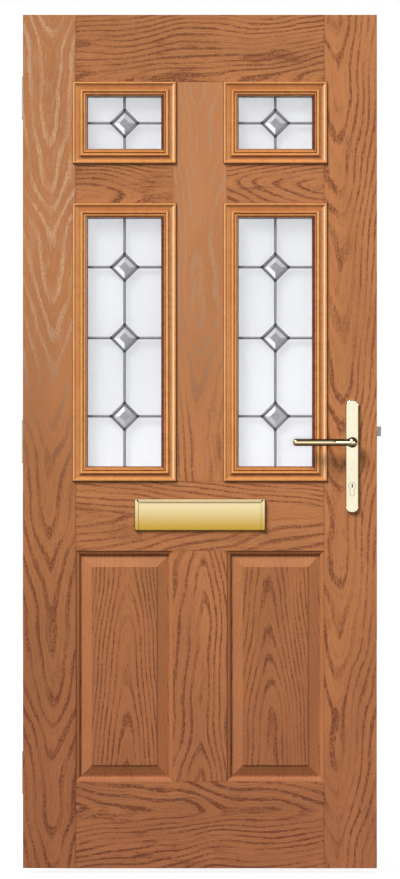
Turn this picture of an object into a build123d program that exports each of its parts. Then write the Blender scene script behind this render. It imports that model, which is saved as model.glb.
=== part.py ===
from build123d import *

import os
from math import sqrt

os.makedirs("parts", exist_ok=True)

# Panelled front door leaf in millimetres: outside face towards -Y, lock edge towards +X, up is +Z.
# The origin is the middle of the leaf's bottom edge.

# Leaf and its moulded layout
leaf_width = 864.0
leaf_height = 2083.0
leaf_thickness = 44.0
skin_thickness = 2.2
stile_width = 129.0
muntin_width = 131.0
bottom_rail_height = 212.0
panel_height = 563.0
lock_rail_height = 169.5
cross_rail_height = 97.0
joint_line_width = 1.2
joint_line_depth = 0.7

# Raised and fielded lower panels
quirk_width = 2.6
quirk_depth = 3.4
ovolo_width = 8.5
ovolo_bulge = 1.7
sticking_width = 14.1
recess_depth = 12.5
bevel_width = 25.6
bevel_rise = 8.5
field_step = 2.0

# Timber sub-frame inside the skins
hinge_stile_depth = 45.0
lock_stile_depth = 100.0
top_rail_depth = 60.0
bottom_rail_depth = 100.0

# Clearances shared by all pieces
overrun = 1.0
bond_gap = 0.1
fit_gap = 0.3
running_gap = 0.05
shaft_gap = 0.1

# Glazing cassettes
cassette_width = 252.0
main_cassette_height = 678.5
upper_cassette_height = 199.3
cassette_moulding = 35.5
cassette_lap = 16.0
cassette_leg = 5.6
cassette_leg_gap = 0.6
cassette_meeting_gap = 0.2
lip_width = 5.4
lip_edge_height = 4.0
lip_crown_height = 6.6
lip_end_height = 5.4
valley_width = 11.4
valley_floor_height = 2.3
valley_end_height = 3.2
bead_width = 9.0
bead_crown_height = 7.8
groove_height = 3.8
inner_bead_width = 6.0
inner_bead_height = 6.2
sight_start_height = 3.6
sight_edge_width = 3.0
sight_edge_height = 2.4
cassette_screw_radius = 1.5
cassette_screw_head_radius = 3.0
cassette_screw_head = 2.0
cassette_screw_seat = 2.6
cassette_screw_length = 30.0
cassette_screw_spacing = 190.0

# Sealed glass units
unit_thickness = 24.0
pane_thickness = 4.0
glass_cover = 12.0
spacer_width = 8.0
spacer_inset = 3.0
came_width = 6.0
came_depth = 5.0
came_setback = 4.0
diamond_reach = 32.3
knot_radius = 4.2
knot_depth = 5.6
bevel_glass_depth = 4.6
bevel_edge = 1.6
bevel_table_share = 0.47
upper_diamond_shares = (0.5,)
main_diamond_shares = (0.203, 0.518, 0.803)

# Letter plate
letter_width = 317.0
letter_height = 75.0
letter_z = 862.9
letter_base = 4.0
letter_cap_width = 9.0
letter_cap_height = 10.0
letter_edge_round = 1.2
slot_width = 256.0
slot_height = 38.0
slot_drop = 3.0
sleeve_wall = 2.0
flap_side_gap = 0.6
flap_back_gap = 0.5
flap_thickness = 2.4
flap_bow = 2.0
flap_edge = 1.2
flap_barrel_radius = 3.4
flap_pin_radius = 1.5
flap_pin_inset = 2.0
flap_notch_width = 4.2
letter_bolt_radius = 2.0
letter_bolt_head_radius = 3.6
letter_bolt_head = 2.0
letter_bolt_depth = 6.0

# Lever handles
handle_backset = 60.6
handle_plate_width = 32.0
handle_plate_height = 275.0
handle_plate_round = 14.0
handle_plate_thickness = 9.0
handle_plate_wall = 3.0
handle_plate_edge = 2.6
handle_plate_z = 1005.5
lever_z = 1039.5
lever_neck_radius = 8.6
lever_neck_length = 24.0
lever_ball_radius = 13.0
lever_radius = 8.9
lever_length = 146.0
lever_crank = 50.0
lever_crank_offset = 13.0
lever_tip_offset = 11.0
lever_bend_radius = 60.0
spindle_side = 8.0
spindle_bite = 24.0
handle_bolt_inset = 14.0
handle_bolt_radius = 2.5
handle_bolt_head_radius = 4.5
handle_bolt_head = 2.4
handle_post_radius = 5.0

# Key cylinder with an inside thumb turn
cylinder_z = 933.6
cylinder_radius = 8.5
cylinder_height = 33.0
cylinder_web = 10.0
cylinder_proud = 1.6
plug_radius = 6.4
keyway_width = 3.0
keyway_height = 9.0
keyway_depth = 22.0
cam_gap = 10.0
cam_radius = 7.4
cam_reach = 15.2
cam_width = 7.0
bridge_drop = 16.0
cylinder_screw_drop = 20.2
cylinder_screw_radius = 2.4
thumb_neck = 6.0
thumb_width = 12.0
thumb_height = 30.0
thumb_depth = 15.0

# Multipoint lock in the lock edge
faceplate_width = 20.0
faceplate_thickness = 3.0
faceplate_bottom = 230.0
faceplate_top = 1850.0
case_wall = 1.6
case_tail = 28.0
case_above = 48.0
case_below = 34.0
follower_radius = 12.0
follower_collar_radius = 9.0
follower_arm_reach = 22.0
follower_arm_width = 7.0
latch_rise = 27.0
latch_height = 24.0
latch_thickness = 11.0
latch_throw = 11.0
latch_head_length = 13.0
latch_tail_height = 7.0
latch_tail_thickness = 6.0
latch_hook_gap = 3.0
latch_hook_width = 5.0
latch_hook_drop = 7.0
dead_bolt_z = 984.0
dead_bolt_height = 34.0
dead_bolt_thickness = 11.0
dead_bolt_length = 46.0
dead_bolt_setback = 0.5
hook_pivot_heights = (380.0, 1700.0)
hook_pivot_depth = 21.0
hook_pin_radius = 3.0
hook_boss_radius = 9.0
hook_arm_width = 14.0
hook_reach = 42.0
hook_claw = 16.0
hook_claw_height = 12.0
hook_thickness = 8.0
hook_slot_above = 13.0
hook_case_depth = 44.0
hook_case_above = 22.0
hook_case_below = 66.0
drive_rail_width = 15.6
drive_rail_thickness = 3.5
drive_rail_travel = 18.0
drive_rail_end = 40.0
faceplate_screw_heights = (258.0, 640.0, 1390.0, 1822.0)
wood_screw_radius = 2.1
wood_screw_head_radius = 4.1
wood_screw_length = 34.0

# Butt hinges
hinge_height = 100.0
hinge_end_gap_low = 180.0
hinge_end_gap_high = 150.0
hinge_plate = 2.5
hinge_plate_width = 30.0
hinge_plate_gap = 0.6
hinge_rebate = 4.0
hinge_knuckles = 5
hinge_barrel_radius = 5.2
hinge_pin_radius = 2.6
hinge_pin_cap = 2.6
hinge_face_gap = 1.0
hinge_hole_radius = 2.6
hinge_hole_spacing_y = 14.0
hinge_hole_spacing_z = 66.0

# Places worked out from the sizes
edge_x = leaf_width / 2
outside_y = -leaf_thickness / 2
inside_y = leaf_thickness / 2
core_y = inside_y - skin_thickness
panel_top = bottom_rail_height + panel_height
main_bottom = panel_top + lock_rail_height
main_top = main_bottom + main_cassette_height
upper_bottom = main_top + cross_rail_height
upper_top = upper_bottom + upper_cassette_height
opening_width = (leaf_width - 2 * stile_width - muntin_width) / 2
opening_x = (muntin_width + opening_width) / 2
panel_z = bottom_rail_height + panel_height / 2
upper_z = upper_bottom + upper_cassette_height / 2
main_z = main_bottom + main_cassette_height / 2
handle_x = edge_x - handle_backset
face_back_x = edge_x - faceplate_thickness
plate_front_y = outside_y - handle_plate_thickness
latch_z = lever_z + latch_rise
slot_z = letter_z - slot_drop
letter_bolt_x = letter_width / 2 - letter_cap_width / 2
lights = {
    "upper_left": (-opening_x, upper_z, upper_cassette_height, upper_diamond_shares),
    "upper_right": (opening_x, upper_z, upper_cassette_height, upper_diamond_shares),
    "main_left": (-opening_x, main_z, main_cassette_height, main_diamond_shares),
    "main_right": (opening_x, main_z, main_cassette_height, main_diamond_shares),
}
handle_bolt_heights = (
    handle_plate_z - handle_plate_height / 2 + handle_bolt_inset,
    handle_plate_z + handle_plate_height / 2 - handle_bolt_inset,
)
hinge_heights = {
    "bottom": hinge_end_gap_low + hinge_height / 2,
    "middle": leaf_height / 2,
    "top": leaf_height - hinge_end_gap_high - hinge_height / 2,
}


def save(piece, name):
    """Label a finished piece and write it."""
    piece.part.label = name
    export_step(piece.part, f"parts/{name}.step")


def at_depth(y):
    """Upright plane at depth y, seen from outside: right is +X, up is +Z, normal is -Y."""
    return Plane.XZ.offset(-y)


def block(low, high):
    """Rectangular block between two corners."""
    with BuildPart() as piece:
        with BuildSketch(Plane.XY.offset(low[2])):
            with Locations(((low[0] + high[0]) / 2, (low[1] + high[1]) / 2)):
                Rectangle(high[0] - low[0], high[1] - low[1])
        extrude(amount=high[2] - low[2])
    return piece.part


def rod(start, direction, radius, length):
    """Round rod from a point along a direction."""
    with BuildPart() as piece:
        with BuildSketch(Plane(origin=start, z_dir=direction)):
            Circle(radius)
        extrude(amount=length)
    return piece.part


def countersunk_screw(start, direction, radius, head_radius, length):
    """Screw whose flat head lies at start, with a 90 degree cone under it."""
    plane = Plane(origin=start, z_dir=direction)
    with BuildPart() as piece:
        with BuildSketch(plane):
            Circle(head_radius)
        with BuildSketch(plane.offset(head_radius - radius)):
            Circle(radius)
        loft(ruled=True)
        with BuildSketch(plane.offset(head_radius - radius)):
            Circle(radius)
        extrude(amount=length - head_radius + radius)
    return piece.part


def ring_sweep(width, height, x, z, section):
    """Carry a section round an upright rectangle with mitred corners.

    The section lies at the middle of the bottom side: its first coordinate runs inwards
    from the rectangle, its second towards the outside of the door from the mid-plane.
    """
    left, right = x - width / 2, x + width / 2
    low, high = z - height / 2, z + height / 2
    with BuildLine() as path:
        Polyline((x, 0, low), (right, 0, low), (right, 0, high), (left, 0, high), (left, 0, low), (x, 0, low))
    plane = Plane(origin=(x, 0, low), x_dir=(0, 0, 1), z_dir=(1, 0, 0))
    with BuildPart() as piece:
        with BuildSketch(plane) as outline:
            add(section)
        sweep(sections=outline.sketch, path=path.wire(), transition=Transition.RIGHT)
    return piece.part


def panel_void(x, setback, spread):
    """Space that one panel's moulding takes out of the outside face.

    setback moves it into the leaf and spread widens it round a smaller raised middle,
    which gives the back of the skin.
    """
    face = -outside_y - setback
    floor = face - recess_depth
    with BuildSketch() as section:
        with BuildLine():
            quirk = Polyline((0, face + overrun), (0, face), (quirk_width, face - quirk_depth))
            ovolo_end = (quirk_width + ovolo_width, floor)
            middle = (
                ((quirk @ 1).X + ovolo_end[0]) / 2 + ovolo_bulge,
                ((quirk @ 1).Y + floor) / 2 + ovolo_bulge,
            )
            ThreePointArc(quirk @ 1, middle, ovolo_end)
            Polyline(
                ovolo_end, (sticking_width, floor), (sticking_width, face + overrun), (0, face + overrun)
            )
        make_face()
    width = opening_width + 2 * spread
    height = panel_height + 2 * spread
    moulding = ring_sweep(width, height, x, panel_z, section.sketch)
    sunk_inset = (quirk_width + ovolo_width + sticking_width) / 2
    raised_width = opening_width - 2 * spread - 2 * sticking_width
    raised_height = panel_height - 2 * spread - 2 * sticking_width
    with BuildPart() as void:
        with BuildSketch(at_depth(-floor)):
            with Locations((x, panel_z)):
                Rectangle(width - 2 * sunk_inset, height - 2 * sunk_inset)
        extrude(amount=recess_depth + overrun)
        with BuildSketch(at_depth(-floor)):
            with Locations((x, panel_z)):
                Rectangle(raised_width, raised_height)
        with BuildSketch(at_depth(-floor - bevel_rise)):
            with Locations((x, panel_z)):
                Rectangle(raised_width - 2 * bevel_width, raised_height - 2 * bevel_width)
        loft(ruled=True, mode=Mode.SUBTRACT)
        with BuildSketch(at_depth(-floor - bevel_rise)):
            with Locations((x, panel_z)):
                Rectangle(raised_width - 2 * bevel_width, raised_height - 2 * bevel_width)
        extrude(amount=field_step, mode=Mode.SUBTRACT)
        add(moulding)
    return void.part


def cylinder_outline(margin):
    """Round-topped outline of the key cylinder, centred on its plug."""
    drop = cylinder_height - cylinder_radius - cylinder_web / 2
    with BuildSketch() as outline:
        Circle(cylinder_radius + margin)
        Rectangle(cylinder_web + 2 * margin, drop, align=(Align.CENTER, Align.MAX))
        with Locations((0, -drop)):
            Circle(cylinder_web / 2 + margin)
    return outline.sketch


# Everything that passes through the leaf from face to face
with BuildPart() as leaf_openings:
    with BuildSketch(at_depth(inside_y + overrun)):
        for light_x, light_z, light_height, light_shares in lights.values():
            with Locations((light_x, light_z)):
                Rectangle(cassette_width - 2 * cassette_lap, light_height - 2 * cassette_lap)
        with Locations((0, slot_z)):
            Rectangle(slot_width + 2 * (sleeve_wall + fit_gap), slot_height + 2 * (sleeve_wall + fit_gap))
        with Locations((-letter_bolt_x, letter_z), (letter_bolt_x, letter_z)):
            Circle(letter_bolt_radius + fit_gap)
        with Locations((handle_x, lever_z)):
            Circle(follower_collar_radius)
        with Locations((handle_x, cylinder_z)):
            add(cylinder_outline(fit_gap))
        with Locations([(handle_x, bolt_z) for bolt_z in handle_bolt_heights]):
            Circle(handle_bolt_radius + fit_gap)
    extrude(amount=leaf_thickness + 2 * overrun)

# Recesses for the hinges in the leaf's edge
hinge_recesses = [
    block(
        (-edge_x - overrun, inside_y - hinge_plate_width - fit_gap, hinge_z - hinge_height / 2 - fit_gap),
        (-edge_x + hinge_rebate, inside_y + overrun, hinge_z + hinge_height / 2 + fit_gap),
    )
    for hinge_z in hinge_heights.values()
]

# Outer skin: moulded sheet with the panels, the joint lines and the openings
panel_places = (-opening_x, opening_x)
joint_lap = cassette_lap / 2
stile_line = edge_x - stile_width
muntin_line = muntin_width / 2
upright_lines = [
    (line_x, low, high)
    for line_x in (-stile_line, stile_line)
    for low, high in (
        (-overrun, bottom_rail_height),
        (panel_top, main_bottom + joint_lap),
        (main_top - joint_lap, upper_bottom + joint_lap),
        (upper_top - joint_lap, leaf_height + overrun),
    )
] + [(line_x, main_top - joint_lap, upper_bottom + joint_lap) for line_x in (-muntin_line, muntin_line)]
level_lines = (bottom_rail_height, panel_top, main_bottom, upper_top)
with BuildPart() as outer_skin:
    with BuildSketch(at_depth(outside_y + skin_thickness)):
        with Locations((0, leaf_height / 2)):
            Rectangle(leaf_width, leaf_height)
    extrude(amount=skin_thickness)
    for panel_x in panel_places:
        add(panel_void(panel_x, skin_thickness, skin_thickness))
        add(panel_void(panel_x, 0, 0), mode=Mode.SUBTRACT)
    with BuildSketch(at_depth(outside_y + joint_line_depth)):
        for line_x, low, high in upright_lines:
            with Locations((line_x, (low + high) / 2)):
                Rectangle(joint_line_width, high - low)
        for line_z in level_lines:
            with Locations((0, line_z)):
                Rectangle(muntin_width, joint_line_width)
    extrude(amount=joint_line_depth + overrun, mode=Mode.SUBTRACT)
    add(leaf_openings.part, mode=Mode.SUBTRACT)
save(outer_skin, "outer_skin")

# Inner skin: the same mould, let in for the hinges
with BuildPart() as inner_skin:
    mirror(outer_skin.part, about=Plane.XZ)
    for recess in hinge_recesses:
        add(recess, mode=Mode.SUBTRACT)
save(inner_skin, "inner_skin")

# Foam core between the timbers, following the backs of both skins
with BuildPart() as foam_core:
    add(
        block(
            (-edge_x + hinge_stile_depth, -core_y, bottom_rail_depth),
            (edge_x - lock_stile_depth, core_y, leaf_height - top_rail_depth),
        )
    )
    for panel_x in panel_places:
        hollow = panel_void(panel_x, skin_thickness + bond_gap, skin_thickness + bond_gap)
        add(hollow, mode=Mode.SUBTRACT)
        mirror(hollow, about=Plane.XZ, mode=Mode.SUBTRACT)
    add(leaf_openings.part, mode=Mode.SUBTRACT)
save(foam_core, "foam_core")

# Top and bottom rails of the timber sub-frame
rail_low_x = -edge_x + hinge_stile_depth
rail_high_x = edge_x - lock_stile_depth
with BuildPart() as top_rail:
    add(block((rail_low_x, -core_y, leaf_height - top_rail_depth), (rail_high_x, core_y, leaf_height)))
save(top_rail, "top_rail")
with BuildPart() as bottom_rail:
    add(block((rail_low_x, -core_y, 0), (rail_high_x, core_y, bottom_rail_depth)))
save(bottom_rail, "bottom_rail")

# Hinge places: two plates with the pin between them, knuckles on the inside of the door
door_plate_back = -edge_x + hinge_rebate
door_plate_face = door_plate_back - hinge_plate
frame_plate_face = door_plate_face - hinge_plate_gap
frame_plate_back = frame_plate_face - hinge_plate
hinge_pin_x = (door_plate_face + frame_plate_face) / 2
hinge_pin_y = inside_y + hinge_face_gap + hinge_barrel_radius
hinge_hole_y = inside_y - hinge_plate_width / 2
knuckle_step = hinge_height / hinge_knuckles


def hinge_screw_places(hinge_z):
    """Centres of one plate's four screws as depth and height."""
    return [
        (hinge_hole_y + side * hinge_hole_spacing_y / 2, hinge_z + end * hinge_hole_spacing_z / 2)
        for side in (-1, 1)
        for end in (-1, 1)
    ]


def hinge_leaf(hinge_z, back_x, face_x, first_knuckle, hole_radius):
    """One hinge plate with every second knuckle of the barrel."""
    low = hinge_z - hinge_height / 2
    left, right = min(back_x, face_x), max(back_x, face_x)
    turn = 90 if face_x > back_x else -90
    with BuildPart() as piece:
        add(block((left, inside_y - hinge_plate_width, low), (right, inside_y, low + hinge_height)))
        for knuckle in range(first_knuckle, hinge_knuckles, 2):
            with BuildSketch(Plane.XY.offset(low + knuckle * knuckle_step + fit_gap / 2)):
                with Locations((hinge_pin_x, hinge_pin_y)):
                    Circle(hinge_barrel_radius)
                with Locations(((left + right) / 2, (inside_y + hinge_pin_y) / 2)):
                    Rectangle(right - left, hinge_pin_y - inside_y)
            extrude(amount=knuckle_step - fit_gap)
        add(
            rod((hinge_pin_x, hinge_pin_y, low), (0, 0, 1), hinge_pin_radius + running_gap, hinge_height),
            mode=Mode.SUBTRACT,
        )
        with Locations([Location((face_x, y, z), (0, turn, 0)) for y, z in hinge_screw_places(hinge_z)]):
            CounterSinkHole(hole_radius, wood_screw_head_radius + shaft_gap, hinge_plate, 90)
    return piece.part


for place, hinge_z in hinge_heights.items():
    with BuildPart() as hinge_frame_leaf:
        add(hinge_leaf(hinge_z, frame_plate_back, frame_plate_face, 0, hinge_hole_radius))
    save(hinge_frame_leaf, f"hinge_frame_leaf_{place}")
    with BuildPart() as hinge_door_leaf:
        add(hinge_leaf(hinge_z, door_plate_back, door_plate_face, 1, wood_screw_radius + shaft_gap))
    save(hinge_door_leaf, f"hinge_door_leaf_{place}")

# Hinge pins with a button at each end
with BuildPart() as hinge_pins:
    for hinge_z in hinge_heights.values():
        low = hinge_z - hinge_height / 2 + fit_gap / 2
        high = hinge_z + hinge_height / 2 - fit_gap / 2
        add(rod((hinge_pin_x, hinge_pin_y, low), (0, 0, 1), hinge_pin_radius, high - low))
        add(rod((hinge_pin_x, hinge_pin_y, low), (0, 0, -1), hinge_barrel_radius, hinge_pin_cap))
        add(rod((hinge_pin_x, hinge_pin_y, high), (0, 0, 1), hinge_barrel_radius, hinge_pin_cap))
save(hinge_pins, "hinge_pins")

# Wood screws that hold the door-side plates
with BuildPart() as hinge_screws:
    for hinge_z in hinge_heights.values():
        for y, z in hinge_screw_places(hinge_z):
            start = (door_plate_face, y, z)
            add(
                countersunk_screw(
                    start, (1, 0, 0), wood_screw_radius, wood_screw_head_radius, wood_screw_length
                ),
            )
save(hinge_screws, "hinge_screws")

# Timber hinge stile with its recesses and pilot holes
with BuildPart() as hinge_stile:
    add(block((-edge_x, -core_y, 0), (rail_low_x, core_y, leaf_height)))
    for recess in hinge_recesses:
        add(recess, mode=Mode.SUBTRACT)
    for hinge_z in hinge_heights.values():
        for y, z in hinge_screw_places(hinge_z):
            pilot = rod(
                (door_plate_face, y, z),
                (1, 0, 0),
                wood_screw_radius + shaft_gap,
                wood_screw_length + shaft_gap,
            )
            add(pilot, mode=Mode.SUBTRACT)
save(hinge_stile, "hinge_stile")

# Glazing cassettes: moulded ring with a leg into the aperture and a lip over the glass
sight_width = cassette_width - 2 * cassette_moulding
leg_start = cassette_lap + cassette_leg_gap
leg_end = leg_start + cassette_leg
glass_face = unit_thickness / 2
lip_under = glass_face + fit_gap
face_level = -outside_y


def cassette_section():
    """Profile of the cassette from its outer edge to the glass."""
    valley_start = lip_width
    bead_start = valley_start + valley_width
    inner_bead_start = bead_start + bead_width
    sight_start = inner_bead_start + inner_bead_width
    sight_end = sight_start + sight_edge_width
    with BuildSketch() as section:
        with BuildLine():
            Line((0, face_level), (0, face_level + lip_edge_height))
            lip = ThreePointArc(
                (0, face_level + lip_edge_height),
                (lip_width / 2, face_level + lip_crown_height),
                (valley_start, face_level + lip_end_height),
            )
            valley = ThreePointArc(
                lip @ 1,
                ((valley_start + bead_start) / 2, face_level + valley_floor_height),
                (bead_start, face_level + valley_end_height),
            )
            bead = ThreePointArc(
                valley @ 1,
                ((bead_start + inner_bead_start) / 2, face_level + bead_crown_height),
                (inner_bead_start, face_level + groove_height),
            )
            inner_bead = ThreePointArc(
                bead @ 1,
                ((inner_bead_start + sight_start) / 2, face_level + inner_bead_height),
                (sight_start, face_level + sight_start_height),
            )
            Polyline(
                inner_bead @ 1,
                (sight_end, face_level + sight_edge_height),
                (cassette_moulding, lip_under),
                (leg_end, lip_under),
                (leg_end, cassette_meeting_gap / 2),
                (leg_start, cassette_meeting_gap / 2),
                (leg_start, face_level),
                (0, face_level),
            )
        make_face()
    return section.sketch


def cassette_screw_places(light_x, light_z, light_height):
    """Centres of one cassette's screws, down the middle of its leg."""
    half_width = cassette_width / 2 - (leg_start + leg_end) / 2
    half_height = light_height / 2 - (leg_start + leg_end) / 2
    rows = max(1, round(light_height / cassette_screw_spacing) - 1)
    places = [(light_x, light_z + side * half_height) for side in (-1, 1)]
    for row in range(rows):
        row_z = light_z + (row - (rows - 1) / 2) * cassette_screw_spacing
        places += [(light_x + side * half_width, row_z) for side in (-1, 1)]
    return places


screw_seat_y = -outside_y + cassette_screw_seat
profile = cassette_section()
cassette_screw_list = []
for light_name, (light_x, light_z, light_height, light_shares) in lights.items():
    ring = ring_sweep(cassette_width, light_height, light_x, light_z, profile)
    screws = [
        rod((x, screw_seat_y, z), (0, -1, 0), cassette_screw_radius, cassette_screw_length)
        + rod((x, screw_seat_y, z), (0, 1, 0), cassette_screw_head_radius, cassette_screw_head)
        for x, z in cassette_screw_places(light_x, light_z, light_height)
    ]
    cassette_screw_list += screws
    with BuildPart() as outer_cassette:
        add(ring)
        for x, z in cassette_screw_places(light_x, light_z, light_height):
            bore = rod(
                (x, 0, z),
                (0, -1, 0),
                cassette_screw_radius + shaft_gap,
                cassette_screw_length - screw_seat_y + overrun,
            )
            add(bore, mode=Mode.SUBTRACT)
    save(outer_cassette, f"outer_cassette_{light_name}")
    with BuildPart() as inner_cassette:
        mirror(ring, about=Plane.XZ)
        for x, z in cassette_screw_places(light_x, light_z, light_height):
            add(
                rod((x, 0, z), (0, 1, 0), cassette_screw_radius + shaft_gap, screw_seat_y),
                mode=Mode.SUBTRACT,
            )
            counterbore = rod(
                (x, screw_seat_y, z), (0, 1, 0), cassette_screw_head_radius + fit_gap, bead_crown_height
            )
            add(counterbore, mode=Mode.SUBTRACT)
    save(inner_cassette, f"inner_cassette_{light_name}")
with BuildPart() as cassette_screws:
    for screw in cassette_screw_list:
        add(screw)
save(cassette_screws, "cassette_screws")

# Sealed units: two panes on a spacer, with leaded lattice and bevelled diamonds between them
unit_width = sight_width + 2 * glass_cover
pane_gap = unit_thickness - 2 * pane_thickness


def unit_height(light_height):
    """Height of a glass unit from its cassette's height."""
    return light_height - 2 * cassette_moulding + 2 * glass_cover


def diamond_heights(light_z, light_height, light_shares):
    """Heights of the diamonds' centres in one light."""
    sight_height = light_height - 2 * cassette_moulding
    return [light_z - sight_height / 2 + share * sight_height for share in light_shares]


with BuildPart() as outer_panes:
    with BuildSketch(at_depth(-glass_face + pane_thickness)):
        for light_x, light_z, light_height, light_shares in lights.values():
            with Locations((light_x, light_z)):
                Rectangle(unit_width, unit_height(light_height))
    extrude(amount=pane_thickness)
save(outer_panes, "outer_panes")
with BuildPart() as inner_panes:
    mirror(outer_panes.part, about=Plane.XZ)
save(inner_panes, "inner_panes")
with BuildPart() as spacer_bars:
    with BuildSketch(at_depth(pane_gap / 2)):
        for light_x, light_z, light_height, light_shares in lights.values():
            outer_w = unit_width - 2 * spacer_inset
            outer_h = unit_height(light_height) - 2 * spacer_inset
            with Locations((light_x, light_z)):
                Rectangle(outer_w, outer_h)
                Rectangle(outer_w - 2 * spacer_width, outer_h - 2 * spacer_width, mode=Mode.SUBTRACT)
    extrude(amount=pane_gap)
save(spacer_bars, "spacer_bars")


def came_bar(start, end):
    """One lead strip with a crowned face between two points of the lattice plane."""
    start_point = Vector(start[0], -came_setback, start[1])
    end_point = Vector(end[0], -came_setback, end[1])
    run = end_point - start_point
    plane = Plane(origin=start_point, x_dir=(0, -1, 0), z_dir=run)
    with BuildPart() as bar:
        with BuildSketch(plane):
            with BuildLine():
                Polyline(
                    (-came_depth / 2, -came_width / 2),
                    (came_depth / 4, -came_width / 2),
                    (came_depth / 2, -came_width / 4),
                    (came_depth / 2, came_width / 4),
                    (came_depth / 4, came_width / 2),
                    (-came_depth / 2, came_width / 2),
                    close=True,
                )
            make_face()
        extrude(amount=run.length)
    return bar.part


def came_lattice(light_x, light_z, light_height, light_shares):
    """Lead lattice of one light: a line up the middle, cross lines and diamonds with soldered corners."""
    reach_x = unit_width / 2 - spacer_inset - spacer_width
    reach_z = unit_height(light_height) / 2 - spacer_inset - spacer_width
    centres = diamond_heights(light_z, light_height, light_shares)
    stops = [light_z - reach_z]
    bars = []
    knots = []
    for centre in centres:
        corners = [
            (light_x + diamond_reach, centre),
            (light_x, centre + diamond_reach),
            (light_x - diamond_reach, centre),
            (light_x, centre - diamond_reach),
        ]
        bars += [(corners[i], corners[(i + 1) % len(corners)]) for i in range(len(corners))]
        bars += [((light_x - reach_x, centre), corners[2]), (corners[0], (light_x + reach_x, centre))]
        stops += [centre - diamond_reach, centre + diamond_reach]
        knots += corners
    stops.append(light_z + reach_z)
    bars += [((light_x, stops[i]), (light_x, stops[i + 1])) for i in range(0, len(stops), 2)]
    with BuildPart() as lattice:
        for start, end in bars:
            add(came_bar(start, end))
        with BuildSketch(at_depth(-came_setback + knot_depth / 2)):
            with Locations(knots):
                Circle(knot_radius)
        extrude(amount=knot_depth)
    return lattice.part


for light_name, light in lights.items():
    with BuildPart() as lead_came:
        add(came_lattice(*light))
    save(lead_came, f"lead_came_{light_name}")

bevel_side = 2 * (diamond_reach / sqrt(2) - came_width / 2 - shaft_gap)
bevel_back_y = -came_setback + bevel_glass_depth / 2
with BuildPart() as bevel_diamonds:
    for light_x, light_z, light_height, light_shares in lights.values():
        for centre in diamond_heights(light_z, light_height, light_shares):
            with BuildSketch(at_depth(bevel_back_y)):
                with Locations((light_x, centre)):
                    Rectangle(bevel_side, bevel_side, rotation=45)
            extrude(amount=bevel_edge)
            with BuildSketch(at_depth(bevel_back_y - bevel_edge)):
                with Locations((light_x, centre)):
                    Rectangle(bevel_side, bevel_side, rotation=45)
            with BuildSketch(at_depth(bevel_back_y - bevel_glass_depth)):
                with Locations((light_x, centre)):
                    Rectangle(bevel_side * bevel_table_share, bevel_side * bevel_table_share, rotation=45)
            loft(ruled=True)
save(bevel_diamonds, "bevel_diamonds")

# Letter plate: base with raised end caps, a bowed flap hung from a pin along its top
letter_front_y = outside_y - letter_base
flap_axis_y = letter_front_y - flap_back_gap - flap_barrel_radius
flap_axis_z = letter_z + letter_height / 2 - flap_edge - flap_barrel_radius
flap_width = letter_width - 2 * letter_cap_width - 2 * flap_side_gap
flap_pin_length = letter_width - 2 * flap_pin_inset
flap_bottom_z = letter_z - letter_height / 2 + flap_edge
cap_x = (letter_width - letter_cap_width) / 2


def letter_frame():
    """Base plate round the slot with an end cap at each side, on the outside face."""
    with BuildPart() as piece:
        with BuildSketch(at_depth(outside_y)):
            with Locations((0, letter_z)):
                Rectangle(letter_width, letter_height)
            with Locations((0, slot_z)):
                Rectangle(slot_width, slot_height, mode=Mode.SUBTRACT)
        extrude(amount=letter_base)
        with BuildSketch(at_depth(outside_y)):
            with Locations((-cap_x, letter_z), (cap_x, letter_z)):
                Rectangle(letter_cap_width, letter_height)
        extrude(amount=letter_cap_height)
        fillet(piece.faces().sort_by(Axis.Y)[:2].edges(), letter_edge_round)
        pin_hole = rod(
            (-flap_pin_length / 2, flap_axis_y, flap_axis_z),
            (1, 0, 0),
            flap_pin_radius + running_gap,
            flap_pin_length,
        )
        add(pin_hole, mode=Mode.SUBTRACT)
        with BuildSketch(at_depth(letter_front_y)):
            notch_x = letter_width / 2 - letter_cap_width + flap_notch_width / 2
            notch_height = letter_z + letter_height / 2 - flap_axis_z + overrun
            with Locations(
                (-notch_x, flap_axis_z + notch_height / 2), (notch_x, flap_axis_z + notch_height / 2)
            ):
                Rectangle(flap_notch_width, notch_height)
        extrude(amount=letter_cap_height, mode=Mode.SUBTRACT)
    return piece.part


def letter_flap():
    """Bowed flap with a barrel along its top edge, on the outside face."""
    back_y = letter_front_y - flap_back_gap
    middle_z = (flap_axis_z + flap_bottom_z) / 2
    with BuildPart() as piece:
        with BuildSketch(Plane.YZ.offset(-flap_width / 2)):
            with BuildLine():
                front = ThreePointArc(
                    (back_y - flap_thickness, flap_axis_z),
                    (back_y - flap_thickness - flap_bow, middle_z),
                    (back_y - flap_thickness, flap_bottom_z),
                )
                foot = Line(front @ 1, (back_y, flap_bottom_z))
                back = ThreePointArc(foot @ 1, (back_y - flap_bow, middle_z), (back_y, flap_axis_z))
                Line(back @ 1, front @ 0)
            make_face()
            with Locations((flap_axis_y, flap_axis_z)):
                Circle(flap_barrel_radius)
        extrude(amount=flap_width)
        bore = rod(
            (-flap_width / 2, flap_axis_y, flap_axis_z),
            (1, 0, 0),
            flap_pin_radius + running_gap,
            flap_width,
        )
        add(bore, mode=Mode.SUBTRACT)
    return piece.part


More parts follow.
